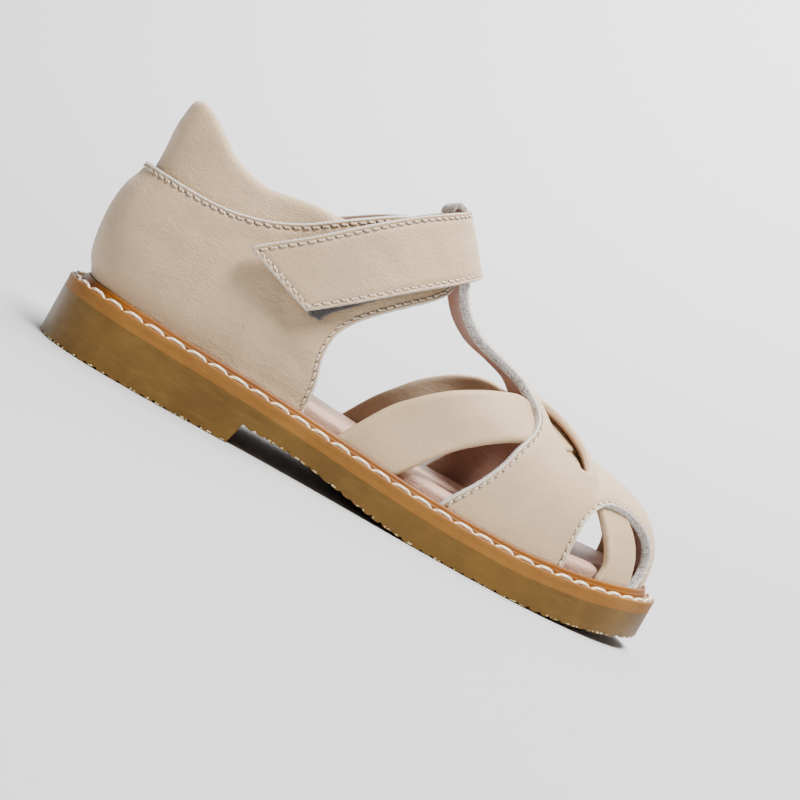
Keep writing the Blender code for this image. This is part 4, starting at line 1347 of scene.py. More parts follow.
@dataclass(frozen=True)
class SoleFinish:
    """A moulded or rolled sole material with soft mottling.

    Attributes:
        name: The material's name.
        colour: Its colour.
        deep: The colour of its darker patches.
        light: The colour of small worn flecks.
        flecks: The share of flecks.
        roughness: How matt it is.
        streaks: The height of the marks along the sole, in mm.
        coat: The weight of the wax over it.
    """

    name: str
    colour: tuple[float, float, float]
    deep: tuple[float, float, float]
    light: tuple[float, float, float]
    flecks: float = 0.1
    roughness: float = 0.5
    streaks: float = 0.03
    coat: float = 0.0

    def material(self) -> bpy.types.Material:
        """Builds the material."""
        g = Graph(self.name)
        cloud = g.noise(70, 4, 0.6)
        marks = g.noise(420, 4, 0.65, g.stretched(0.35, 1.0, 1.6))
        grit = g.noise(3200, 3, 0.6)
        colour = g.mix(g.span(cloud, 0.3, 0.72), srgb(*self.deep), srgb(*self.colour))
        colour = g.mix(g.span(marks, 0.4, 0.75, 0.0, 0.28), colour, srgb(*self.light))
        spots = g.span(g.cells(420), 0.05, 0.1, 1.0, 0.0)
        chosen = g.span(g.noise(160, 2), 0.58, 0.66)
        worn = g.sums("MULTIPLY", g.sums("MULTIPLY", spots, chosen), self.flecks * 5)
        colour = g.mix(worn, colour, srgb(*self.light))
        normal = g.bump(grit, 0.035 * MM, 0.7)
        normal = g.bump(marks, self.streaks * 3 * MM, 0.6, normal)
        rough = g.span(cloud, 0.3, 0.7, self.roughness + 0.06, self.roughness - 0.05)
        return g.finish(
            colour, rough, normal, Coat_Weight=self.coat, Coat_Roughness=0.4, Specular_IOR_Level=0.28
        )


@dataclass(frozen=True)
class FuzzFinish:
    """The brushed nap of a hook-and-loop tape, or the painted shade of a stitch hole.

    Attributes:
        name: The material's name.
        colour: The nap's colour.
        dark: The colour deep in it.
        roughness: How matt it is.
    """

    name: str
    colour: tuple[float, float, float]
    dark: tuple[float, float, float]
    roughness: float = 0.9

    def material(self) -> bpy.types.Material:
        """Builds the material."""
        g = Graph(self.name)
        loops = g.noise(2400, 5, 0.75)
        colour = g.mix(g.span(loops, 0.35, 0.65), srgb(*self.dark), srgb(*self.colour))
        normal = g.bump(loops, 0.35 * MM, 1.0)
        return g.finish(colour, self.roughness, normal, Sheen_Weight=0.4, Sheen_Roughness=0.7)


class Finishes:
    """The sandal's materials, each built once."""

    def __init__(self) -> None:
        """Builds every material."""
        self.upper = LeatherFinish(
            "sand_leather", (206, 178, 141), (197, 169, 133), (216, 210, 202), roughness=0.47, pores=0.08,
            folds=0.035,
        ).material()
        # The quarter's worn leather: the sand leather with more creases, and its colour and darker areas painted
        # darker as painted shade.
        self.worn = LeatherFinish(
            "creased_shaded_sand_leather", (201, 173, 137), (186, 158, 124), (216, 210, 202), roughness=0.49, folds=0.12,
            rim_width=0.34,
        ).material()
        # The strap's leather: the sand leather painted slightly darker as painted shade.
        self.strap = LeatherFinish(
            "shaded_strap_leather", (204, 176, 139), (194, 166, 131), (208, 200, 190), roughness=0.48, folds=0.09,
            rim_width=0.2,
        ).material()
        # The bands' lining: the same sand leather as their outer face, painted darker as painted shade.
        self.shaded_band_lining = LeatherFinish(
            "shaded_sand_lining", (154, 134, 110), (140, 121, 99), (154, 134, 110), roughness=0.58, pores=0.05
        ).material()
        self.upper_lining = LeatherFinish(
            "pink_lining", (162, 128, 110), (144, 110, 94), (168, 136, 118), roughness=0.62, pores=0.04
        ).material()
        self.cut = CutFinish("cut_edge", (230, 227, 224), (120, 111, 105)).material()
        self.strap_cut = CutFinish("strap_cut_edge", (200, 188, 174), (104, 93, 85)).material()
        self.collar = LeatherFinish(
            "collar_leather", (202, 174, 138), (190, 162, 128), (206, 188, 166), roughness=0.5, rim_width=0.0
        ).material()
        self.footbed = LeatherFinish(
            "footbed_leather", (212, 171, 149), (198, 154, 132), (212, 176, 158), roughness=0.55, pores=0.05,
            rim_width=0.0,
        ).material()
        self.seam = ThreadFinish("seam_thread", (240, 228, 206), (186, 160, 132), twist=1.1).material()
        self.welt_thread = ThreadFinish("welt_thread", (255, 248, 226), (226, 194, 146), twist=0.4).material()
        # The stitch holes: dark lenses of painted shade, standing in for the inside of each hole.
        self.hole = FuzzFinish("stitch_hole_shade", (70, 56, 46), (40, 31, 26)).material()
        self.welt = SoleFinish(
            "welt_leather", (142, 86, 20), (120, 68, 14), (166, 108, 38), flecks=0.05, roughness=0.5,
            streaks=0.03, coat=0.12,
        ).material()
        self.band = SoleFinish(
            "welt_side", (140, 94, 36), (126, 82, 29), (158, 112, 52), flecks=0.04, roughness=0.62
        ).material()
        self.outsole = SoleFinish(
            "amber_rubber", (107, 78, 26), (90, 64, 20), (128, 98, 44), flecks=0.06, roughness=0.46,
            streaks=0.02,
        ).material()
        self.crumb = SoleFinish(
            "rubber_crumb", (236, 220, 176), (214, 190, 140), (250, 240, 210), roughness=0.6
        ).material()
        self.tape = FuzzFinish("tape_nap", (70, 62, 57), (30, 27, 25)).material()
        self.lint = FuzzFinish("tape_lint", (126, 118, 112), (84, 78, 74)).material()


def dress(piece: bpy.types.Object, *materials: bpy.types.Material) -> bpy.types.Object:
    """Gives a piece its materials, in the order of its slots."""
    for material in materials:
        piece.data.materials.append(material)
    return piece


def on_vamp(table: Sequence[Sequence[float]]) -> Array:
    """Turns a vamp pattern's shares into metres, in the vamp's flat coordinates."""
    rows = np.array(table, float)
    ahead = np.minimum(rows[:, 0], LAST.FAN_AT) * LAST.LENGTH
    ahead += np.maximum(rows[:, 0] - LAST.FAN_AT, 0) * LAST.GIRTH
    return np.column_stack([ahead, rows[:, 1:] * LAST.GIRTH])


def on_quarter(table: Sequence[Sequence[float]]) -> Array:
    """Turns shares of the length and of the ridge's height above the welt into metres."""
    return np.array(table, float) * (LAST.LENGTH, LAST.RIDGE) + (0, LAST.WELT)


def on_strap(table: Sequence[Sequence[float]]) -> Array:
    """Turns a strap pattern's shares into metres."""
    return np.array(table, float) * (LAST.REACH, LAST.STRAP_WIDTH)


def mirrored(outline: Array) -> Array:
    """Gives a pattern on the other side of the ridge."""
    return np.asarray(outline)[::-1] * (1, -1)


@dataclass
class Upper:
    """The quarter, the strap, the panel with its stem, and the two crossing bands, with their seams.

    Attributes:
        finishes: The materials.
        panel_outline: The panel with its stem, as (share of the length, share of the girth).
        slot_outline: Its opening on the outer side.
        band_a_line: The upper band's centre line and half width, as shares.
        band_b_line: The same of the lower band, before it is mirrored.
        quarter_side: One front and top edge of the quarter, as shares of the length and the ridge's height.
        strap_outline: The strap, as shares of the reach over the instep and of its width.
        thread: The seams' stitches.
        seam_inset: The distance between a seam and the edge.
    """

    finishes: Finishes
    panel_outline: tuple[tuple[float, float], ...] = (
        (0.4583, -0.15), (0.5, -0.16), (0.5476, -0.156), (0.5952, -0.152), (0.631, -0.17), (0.6548, -0.22),
        (0.6702, -0.3), (0.6756, -0.38), (0.6726, -0.47), (0.6607, -0.57), (0.6488, -0.68), (0.631, -0.79),
        (0.6101, -0.89), (0.5905, -1.0), (0.7976, -1.0), (0.8006, -0.92), (0.7988, -0.8), (0.8012, -0.68),
        (0.8346, -0.576), (0.9226, -0.48), (1.0826, -0.41), (1.2626, -0.352), (1.4026, -0.336), (1.5226, -0.38),
        (1.5926, -0.48), (1.6226, -0.572), (1.7426, -0.34), (1.8026, 0.0), (1.778, 0.225), (1.718, 0.405),
        (1.66, 0.33), (1.57, 0.275), (1.43, 0.255), (1.274, 0.285), (1.0826, 0.368), (0.9226, 0.47),
        (0.8346, 0.576), (0.8012, 0.68), (0.7988, 0.8), (0.8006, 0.92), (0.7976, 1.0), (0.5905, 1.0),
        (0.6101, 0.89), (0.631, 0.79), (0.6488, 0.68), (0.6607, 0.57), (0.6726, 0.47), (0.6756, 0.38),
        (0.6702, 0.3), (0.6548, 0.22), (0.631, 0.17), (0.5952, 0.152), (0.5476, 0.156), (0.5, 0.16),
        (0.4583, 0.15),
    )
    slot_outline: tuple[tuple[float, float], ...] = (
        (0.68, -0.19), (0.7, -0.13), (0.727, -0.112), (0.753, -0.15), (0.773, -0.24), (0.7835, -0.35),
        (0.7815, -0.405), (0.762, -0.434), (0.734, -0.42), (0.704, -0.345),
    )
    band_a_line: tuple[tuple[float, float, float], ...] = (
        (0.4679, -1.0, 0.16), (0.5018, -0.832, 0.14), (0.5298, -0.726, 0.134), (0.5595, -0.632, 0.126),
        (0.5964, -0.54, 0.12), (0.6399, -0.44, 0.118), (0.681, -0.33, 0.118), (0.722, -0.19, 0.118),
        (0.762, -0.04, 0.122), (0.804, 0.098, 0.122), (0.964, 0.222, 0.118), (1.124, 0.302, 0.112),
        (1.274, 0.364, 0.112), (1.404, 0.414, 0.118), (1.499, 0.464, 0.128), (1.56, 0.51, 0.138),
        (1.61, 0.56, 0.146),
    )
    band_b_line: tuple[tuple[float, float, float], ...] = (
        (0.4829, -1.0, 0.16), (0.513, -0.832, 0.14), (0.537, -0.726, 0.134), (0.562, -0.632, 0.128),
        (0.5964, -0.54, 0.124), (0.6399, -0.44, 0.12), (0.6786, -0.33, 0.12), (0.7173, -0.19, 0.124),
        (0.756, -0.03, 0.128), (0.7946, 0.15, 0.132), (0.912, 0.336, 0.132), (1.0421, 0.483, 0.132),
        (1.1651, 0.554, 0.15), (1.263, 0.602, 0.174), (1.3336, 0.663, 0.202), (1.3802, 0.73, 0.226),
        (1.4149, 0.796, 0.236),
    )
    quarter_side: tuple[tuple[float, float], ...] = (
        (0.3726, 0.0136), (0.369, 0.15), (0.3595, 0.2864), (0.3619, 0.4182), (0.3774, 0.525), (0.4048, 0.6364),
        (0.4345, 0.7409), (0.4613, 0.8318), (0.4798, 0.9227), (0.4786, 1.0364), (0.456, 1.15), (0.4286, 1.2227),
        (0.3929, 1.2), (0.3571, 1.1318), (0.3214, 1.0409), (0.2857, 0.9455), (0.25, 0.85), (0.2143, 0.7818),
        (0.1786, 0.7364), (0.1369, 0.709), (0.0893, 0.705),
    )
    strap_outline: tuple[tuple[float, float], ...] = (
        (-0.1689, -0.5), (-0.1461, -0.5625), (0.1598, -0.5437), (0.4795, -0.5563), (0.7763, -0.5375),
        (1.21, -0.45), (1.7123, -0.475), (2.1689, -0.525), (2.5342, -0.55), (2.5342, 0.525), (2.1689, 0.525),
        (1.7123, 0.55), (1.21, 0.5875), (0.6279, 0.5188), (0.2968, 0.5), (0.0594, 0.475), (0.032, 0.425),
    )
    thread: Thread = Thread(1.7 * MM, 2.2 * MM, 0.29 * MM, 0.3 * MM, 0.3 * MM, 9)
    seam_inset: float = 1.08 * MM

    def _panel(self) -> Sheet:
        """Gives the stem and the vamp panel with its two slots."""
        slot = on_vamp(self.slot_outline)
        relief = Relief(
            creases=(
                Crease(((98, -40), (103, -34), (106, -27)), 0.22, 1.6),
                Crease(((112, -44), (118, -37), (121, -30)), 0.18, 1.8),
                Crease(((86, -6), (92, -3), (97, 1)), 0.16, 1.3),
            ),
            swing=0.16, size=(11, 13), seed=3.0,
        )
        return Sheet(
            LAST.vamp, on_vamp(self.panel_outline), Edges.RAW.value, LAST.PANEL,
            holes=(slot, mirrored(slot)), relief=relief,
        )

    @staticmethod
    def _band(rows: Sequence[Sequence[float]], turn: float) -> Array:
        """Gives a band's outline, round its centre line.

        Args:
            rows: The centre line and the half width, as shares.
            turn: The direction of the front foot, from the toe.

        Returns:
            The outline's flat points.
        """
        table = on_vamp(rows)
        line = table[:, :2]
        ahead = np.gradient(line, axis=0)
        aside = np.stack([-ahead[:, 1], ahead[:, 0]], -1)
        aside /= np.linalg.norm(aside, axis=1)[:, None]
        aside[0] = (1, 0)
        aside[-1] = (-math.sin(turn), math.cos(turn))
        left, right = line + aside * table[:, 2:], line - aside * table[:, 2:]
        left[0] = line[0] - (table[0, 2], 0)
        right[0] = line[0] + (table[0, 2], 0)
        return np.vstack([right, left[::-1]])

    @staticmethod
    def _band_sheet(outline: Array, sink: float, lift: float, dip: float, seed: float) -> Sheet:
        """Gives a band that lies under the panel and comes flush towards its feet.

        Args:
            outline: Its outline.
            sink: How deep it lies in the middle.
            lift: How far its inner rear is raised.
            dip: How much deeper it lies behind the slots.
            seed: The seed of its unevenness.

        Returns:
            The band's sheet.
        """
        def depth(flat: Array) -> Array:
            """Gives how deep the band lies below the vamp's outer face."""
            u, v = flat.T
            share = np.where(u > LAST.fan_x, np.hypot(u - LAST.fan_x, v), np.abs(v)) / LAST.GIRTH
            rear = np.clip((0.67 * LAST.LENGTH - u) / (0.06 * LAST.LENGTH), 0, 1) * (v > 0)
            raised = lift * rear * np.exp(-(((share - 0.45) / 0.22) ** 2))
            beside = np.hypot((u - 0.73 * LAST.LENGTH) / (9 * MM), (np.abs(v) - 11 * MM) / (9 * MM))
            return sink * np.clip((1 - share) / 0.3, 0, 1) - raised + dip * np.exp(-(beside**2))

        relief = Relief(swing=0.16, size=(10, 8), seed=seed)
        return Sheet(LAST.band, outline, Edges.FOLDED.value, LAST.LEATHER, depth=depth, relief=relief)

    def _quarter(self) -> Sheet:
        """Gives the quarter, round the heel from the outer front edge to the inner one."""
        side = on_quarter(self.quarter_side)
        start = len(LAST.outer) - 1
        outer = np.column_stack(
            [np.interp(side[:, 0], LAST.ring[: start + 1, 0][::-1], LAST.ring_at[: start + 1][::-1]), side[:, 1]]
        )
        inner = np.column_stack(
            [np.interp(side[:, 0], LAST.ring[start:, 0], LAST.ring_at[start:]), side[:, 1]]
        )
        back = on_quarter([(-0.03, 0.72), (0.03, 0.72)])
        around = np.linspace(inner[0, 0], outer[0, 0], 40)
        foot = np.column_stack([around, LAST.welt_foot(np.interp(around, LAST.ring_at, LAST.ring[:, 0]))])
        relief = Relief(
            creases=(
                Crease(((-62, 26), (-55, 33), (-50, 41)), 0.2, 1.5),
                Crease(((-68, 22), (-60, 25), (-52, 26)), 0.16, 1.6),
                Crease(((-40, 44), (-34, 40), (-27, 39)), 0.15, 1.4),
                Crease(((-48, 30), (-41, 34), (-36, 36)), 0.12, 1.3),
                Crease(((-30, 30), (-22, 33), (-14, 32)), 0.1, 1.8),
                Crease(((55, 26), (48, 31), (40, 33)), 0.16, 1.7),
                Crease(((64, 24), (58, 32), (54, 40)), 0.18, 1.6),
            ),
            swing=0.2, size=(13, 8), seed=1.0,
        )
        return Sheet(
            LAST.quarter, np.vstack([foot, outer, back, inner[::-1]]), Edges.RAW.value, LAST.LEATHER,
            relief=relief,
        )

    def _strap(self) -> Sheet:
        """Gives the strap over the instep with its free end on the outer side."""
        relief = Relief(
            creases=(
                Crease(((20, -6), (24, 1), (26, 6)), 0.16, 1.8),
                Crease(((33, -7), (36, -1), (37, 5)), 0.12, 1.6),
            ),
            swing=0.16, size=(9, 7), seed=5.0,
        )
        return Sheet(LAST.strap, on_strap(self.strap_outline), Edges.RAW.value, LAST.LEATHER, relief=relief)

    @staticmethod
    def _curl() -> bpy.types.Object:
        """Builds the end of the stem that turns over the strap's rear edge."""
        place = LAST.strap(np.array([(58.2 * MM, -7.3 * MM)]))[0]
        back = np.array([-LAST.across_strap[0], 0.0, -LAST.across_strap[1]])
        out = np.array([LAST.up_strap[0], 0.0, LAST.up_strap[1]])
        turns = np.radians(np.linspace(-75, 112, 16))
        section = [(2.35 * math.cos(t), 2.35 * math.sin(t)) for t in turns]
        section += [(1.6 * math.cos(t), 1.6 * math.sin(t)) for t in np.radians((121, 124, 121))]
        section += [(0.85 * math.cos(t), 0.85 * math.sin(t)) for t in turns[::-1]]
        section += [(1.6 * math.cos(t), 1.6 * math.sin(t)) for t in np.radians((-84, -87, -84))]
        section = np.array(section)
        rows = np.concatenate([[-6.6, -6.5, -6.3], np.linspace(-5.4, 5.4, 9), [6.3, 6.5, 6.6]])
        shrink = np.concatenate([[0.82, 0.94, 1.0], np.ones(9), [1.0, 0.94, 0.82]])
        points = []
        for row, share in zip(rows, shrink):
            for a, b in section:
                turn = math.atan2(b, a)
                spine = 1.6 * np.array([math.cos(turn), math.sin(turn)])
                a, b = spine + (np.array([a, b]) - spine) * share
                wave = 0.14 * noise.noise(Vector((a * 0.7, row * 0.4, b * 0.7)))
                points.append(place + back * (a + 0.2 + wave) * MM + out * (b - 4.3 + wave) * MM + (0, row * MM, 0))
        size, faces, slots = len(section), [], []
        for i in range(len(rows) - 1):
            for j in range(size):
                k = (j + 1) % size
                faces.append((i * size + j, i * size + k, (i + 1) * size + k, (i + 1) * size + j))
                slots.append(1 if i < 2 or i >= len(rows) - 3 else 0)
        last = (len(rows) - 1) * size
        faces += [tuple(range(size)), tuple(range(last + size - 1, last - 1, -1))]
        slots += [1, 1]
        return make_piece("stem_turn", np.array(points), faces, slots)

    def build(self) -> list[bpy.types.Object]:
        """Builds and dresses the pieces of the upper."""
        leather = (self.finishes.upper, self.finishes.cut, self.finishes.upper_lining)
        panel, quarter, strap = self._panel(), self._quarter(), self._strap()
        sheets = {
            "panel": panel,
            "band_a": self._band_sheet(self._band(self.band_a_line, 0.6), 0.8 * MM, 0.0, 3.6 * MM, 7.0),
            "band_b": self._band_sheet(
                mirrored(self._band(self.band_b_line, 0.86)), 1.5 * MM, 2.8 * MM, 4.1 * MM, 8.0
            ),
            "quarter": quarter,
            "strap": strap,
        }
        # The bands' inner face is the sand leather painted darker as shade.
        plain = (self.finishes.upper, self.finishes.cut, self.finishes.shaded_band_lining)
        # The quarter and the strap take copies of the sand leather that are painted darker as shade.
        outer = {"quarter": self.finishes.worn, "strap": self.finishes.strap}
        lined = {"band_a": plain, "band_b": plain}
        pieces = []
        for name, sheet in sheets.items():
            face, cut, lining = lined.get(name, leather)
            cut = self.finishes.strap_cut if name == "strap" else cut
            pieces.append(dress(sheet.build(name), outer.get(name, face), cut, lining))
        pieces.append(dress(self._curl(), self.finishes.strap_cut, self.finishes.strap_cut))

        def above_foot(flat: Array) -> Array:
            """Says which flat points of the vamp are clear of the welt."""
            u, v = flat.T
            share = np.where(u > LAST.fan_x, np.hypot(u - LAST.fan_x, v), np.abs(v)) / LAST.GIRTH
            return (share < 0.95) & (u > 0.487 * LAST.LENGTH)

        def above_welt(flat: Array) -> Array:
            """Says which flat points of the quarter are clear of the welt."""
            x = np.interp(flat[:, 0], LAST.ring_at, LAST.ring[:, 0])
            return flat[:, 1] > LAST.welt_top(x) + 2.6 * MM

        row = StitchRow(self.thread, 4)
        for sheet, keep in ((panel, above_foot), (quarter, above_welt), (strap, lambda flat: flat[:, 0] < 0.105)):
            for line in runs_inside(sheet, self.seam_inset, keep):
                row.sew(sheet, line)
        threads, holes = row.build("upper_seams")
        # The holes' mesh is dark lenses of painted shade.
        pieces += [dress(threads, self.finishes.seam), dress(holes, self.finishes.hole)]
        for piece in pieces:
            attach(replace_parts(piece, "upper"), "root")
        return pieces


@dataclass
class Collar:
    """The padded collar inside the quarter, with its peak over the heel.

    Attributes:
        finishes: The materials.
        top: One half of its top edge, as shares of the length and the ridge's height.
        depth: The height of its lower edge, as a share of the ridge's height.
        thickness: The pad's thickness.
    """

    finishes: Finishes
    top: tuple[tuple[float, float], ...] = (
        (0.0, 1.1591), (0.0357, 1.1568), (0.0655, 1.1477), (0.0923, 1.1227), (0.1161, 1.0818), (0.1399, 1.0318),
        (0.1607, 0.9864), (0.1875, 0.95), (0.2202, 0.9295), (0.2619, 0.9341), (0.3036, 0.9545),
        (0.3452, 0.9818), (0.3929, 1.0136),
    )
    depth: float = 0.423
    thickness: float = 3.6 * MM

    def build(self) -> list[bpy.types.Object]:
        """Builds and dresses the collar."""
        top = on_quarter(self.top)
        upper = np.vstack([top[:0:-1] * (-1, 1), top])
        end = top[-1, 0]
        lower = on_quarter(
            [(x / LAST.LENGTH, self.depth + 0.045 * abs(x) / end) for x in np.linspace(end, -end, 21)]
        )
        sunk = LAST.LEATHER + 1.6 * LAST.GAP
        relief = Relief(swing=0.2, size=(12, 10), seed=11.0)
        sheet = Sheet(
            LAST.quarter, np.vstack([upper, lower]), Edges.PADDED.value, self.thickness,
            depth=lambda flat: np.full(len(flat), sunk), relief=relief, rings=(0.12, 0.35, 0.8, 1.5, 2.6),
            step=1.4 * MM,
        )
        piece = dress(sheet.build("collar_pad"), self.finishes.collar, self.finishes.collar, self.finishes.collar)
        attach(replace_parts(piece, "collar"), "root")
        return [piece]


@dataclass
class Sole:
    """The outsole, the midsole, the welt with its thread, and the footbed.

    Attributes:
        finishes: The materials.
        thread: The welt's stitches.
        welt_section: The welt's section: mm inward, mm above its top edge, and 1 on its side.
    """

    finishes: Finishes
    thread: Thread = Thread(5.5 * MM, 5.65 * MM, 0.44 * MM, 0.34 * MM, 0.6 * MM)
    welt_section: tuple[tuple[float, float, int], ...] = (
        (0.0, -1.3, 1), (0.0, -0.7, 1), (0.01, -0.24, 1), (0.06, -0.08, 1), (0.18, 0.0, 0), (0.45, 0.03, 0),
        (0.75, 0.0, 0), (0.95, -0.16, 0), (1.35, -0.3, 0), (1.75, -0.18, 0), (2.15, -0.02, 0), (2.55, -0.03, 0),
        (2.78, -0.22, 0), (2.92, -0.2, 0), (2.98, 0.2, 0), (3.02, 0.55, 0), (3.1, 0.72, 0), (3.2, 0.74, 0),
        (3.24, 0.92, 0), (3.3, 1.3, 0), (3.44, 1.62, 0), (3.66, 1.78, 0), (3.9, 1.74, 0), (4.06, 1.5, 0),
        (4.1, 1.1, 0), (4.1, -1.3, 0),
    )

    def _outsole(self) -> bpy.types.Object:
        """Builds the outsole with its wavy cut edge and its tread."""
        def top(flat: Array) -> Array:
            """Gives the height of the top."""
            return LAST.welt_foot(flat[:, 0]) - LAST.GAP - LAST.MIDSOLE

        def bottom(flat: Array) -> Array:
            """Gives the height of the treaded underside."""
            x, y = flat.T / MM
            swing = 1.1 * np.sin(y / 2.1) + 0.7 * np.sin(y / 5.3 + 1.0)
            ridge = np.abs(np.sin((x + swing) * math.pi / 2.9))
            ragged = np.array([noise.noise(Vector((a * 0.9, b * 0.9, 2.0))) for a, b in zip(x, y)])
            return LAST.tread(flat[:, 0]) + (0.75 * (1 - ridge) ** 2 + 0.3 * np.maximum(ragged, 0)) * MM

        layer = Layer(
            0.0, top, bottom, wall=((0.02, 0.0), (0.25, 0.0), (0.5, 0.0), (0.75, 0.0), (0.93, 0.0)),
            step=0.95 * MM, rings=(0.35, 0.9), lines=(LAST.HEEL, LAST.HEEL + LAST.BREAST), count=720,
        )
        piece = dress(layer.build("outsole_block"), *[self.finishes.outsole] * 3)
        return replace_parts(piece, "outsole")

    def _crumbs(self) -> bpy.types.Object:
        """Builds the light crumbs that the cutting left along the outsole's lower edge."""
        random = np.random.default_rng(12)
        edge = LAST.sole_edge(0.02 * MM)
        way = inward(edge)
        points, faces = [], []
        for _ in range(240):
            index = int(random.integers(len(edge)))
            x, y = edge[index]
            size = random.uniform(0.14, 0.38) * MM
            base = np.array([x, y, LAST.tread(np.array([x]))[0] + 0.15 * MM + size * 0.6])
            first = len(points)
            inside_way = np.array([*way[index], 0.0])
            frame = (inside_way, np.array([-inside_way[1], inside_way[0], 0.0]), np.array([0, 0, 1.0]))
            for axis, factor in ((0, 0.5), (1, random.uniform(0.8, 2.2)), (2, 0.7)):
                for sign in (1, -1):
                    points.append(base + frame[axis] * sign * size * factor * random.uniform(0.7, 1.2))
            for a in (0, 1):
                for b in (2, 3):
                    for c in (4, 5):
                        faces.append((first + a, first + b, first + c))
        piece = dress(make_piece("outsole_crumbs", np.array(points), faces), self.finishes.crumb)
        return piece

    def _midsole(self) -> bpy.types.Object:
        """Builds the thin midsole."""
        layer = Layer(
            0.05 * MM, lambda flat: LAST.welt_foot(flat[:, 0]),
            lambda flat: LAST.welt_foot(flat[:, 0]) - LAST.GAP - LAST.MIDSOLE - 0.12 * MM,
            wall=((0.3, 0.0), (0.7, 0.0), (0.94, 0.0)), step=4 * MM, count=720,
        )
        piece = dress(layer.build("midsole_layer"), *[self.finishes.band] * 3)
        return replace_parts(piece, "midsole")

    def _welt(self) -> bpy.types.Object:
        """Builds the welt: the flange with its groove and the rib, swept round the sole."""
        outer = LAST.sole_edge(0.0)
        way = inward(outer)
        count, size = len(outer), len(self.welt_section)
        top = LAST.welt_top(outer[:, 0])
        points, faces, slots = [], [], []
        for index in range(count):
            uneven = noise.noise(Vector((outer[index][0] * 190, outer[index][1] * 190, 0.0)))
            for inset, height, _ in self.welt_section:
                grown = 0.06 * uneven if height > 0 else 0.03 * uneven
                plan = outer[index] + way[index] * (inset + (0.05 * uneven if inset > 2.5 else 0)) * MM
                points.append((*plan, top[index] + (height + (grown if height > -0.5 else 0)) * MM))
        for i in range(count):
            for j in range(size):
                k, after = (j + 1) % size, (i + 1) % count
                faces.append((i * size + j, after * size + j, after * size + k, i * size + k))
                slots.append(1 if self.welt_section[j][2] and self.welt_section[k][2] else 0)
        piece = make_piece("welt_strip", np.array(points), faces, slots, crisp=55)
        dress(piece, self.finishes.welt, self.finishes.band)
        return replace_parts(piece, "welt")

    def _welt_stitches(self) -> bpy.types.Object:
        """Builds the thread that arches out of the groove of the welt."""
        random = np.random.default_rng(6)
        line = LAST.sole_edge(1.25 * MM)
        line = np.vstack([line, line[:1]])
        length = np.concatenate([[0], np.cumsum(np.linalg.norm(np.diff(line, axis=0), axis=1))])
        count = round(length[-1] / self.thread.pitch)
        t = np.linspace(-1, 1, 15)
        tubes = Tubes()
        for number in range(count):
            middle = (number + 0.5) * length[-1] / count + random.normal(0, 0.08 * MM)
            at = (middle + t * self.thread.length / 2 * random.uniform(0.96, 1.03)) % length[-1]
            plan = np.stack([np.interp(at, length, column) for column in line.T], -1)
            ahead = float(eased(plan[7, 0:1], 0.8 * LAST.LENGTH, 0.97 * LAST.LENGTH)[0])
            grown = (1 - 0.45 * ahead) * random.uniform(0.9, 1.08)
            rise = self.thread.arch * grown * (1 - t**2) - self.thread.dip * np.abs(t) ** 3.2 + 0.12 * MM
            centres = np.column_stack([plan, LAST.welt_top(plan[:, 0]) + rise])
            radii = self.thread.radius * (1 - 0.3 * np.abs(t) ** 2.5) * random.uniform(0.94, 1.06)
            tubes.add(centres, np.tile((0.0, 0.0, 1.0), (len(t), 1)), radii)
        piece = dress(tubes.build("welt_stitches"), self.finishes.welt_thread)
        return piece

    def _footbed(self) -> bpy.types.Object:
        """Builds the padded footbed with its wrapped edge."""
        edge = LAST.sole_edge(LAST.INSOLE_INSET)

        def top(flat: Array) -> Array:
            """Gives the height of the top, rounded towards the edge."""
            away = clearance(flat, edge) / MM
            round_off = 0.75 * (1 - np.clip(away / 1.5, 0, 1)) ** 2.2
            cup = 0.5 * np.exp(-((away - 3.2) / 1.9) ** 2)
            soft = 0.12 * np.array([noise.noise(Vector((x / 0.012, y / 0.012, 0.0))) for x, y in flat])
            return LAST.welt_top(flat[:, 0]) + LAST.INSOLE_RISE + (cup - 0.45 - round_off + soft) * MM

        layer = Layer(
            LAST.INSOLE_INSET, top, lambda flat: LAST.welt_foot(flat[:, 0]),
            wall=((0.06, 0.1), (0.2, 0.16), (0.5, 0.1), (0.9, 0.0)), step=1.9 * MM,
            rings=(0.2, 0.5, 0.9, 1.4, 2.2, 3.2, 4.4), wander=0.08,
        )
        piece = dress(layer.build("footbed"), *[self.finishes.footbed] * 3)
        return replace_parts(piece, "insole")

    def build(self) -> list[bpy.types.Object]:
        """Builds and dresses the pieces of the sole."""
        pieces = [
            self._outsole(), self._crumbs(), self._midsole(), self._welt(), self._welt_stitches(), self._footbed()
        ]
        for piece in pieces:
            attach(piece, "root")
        return pieces


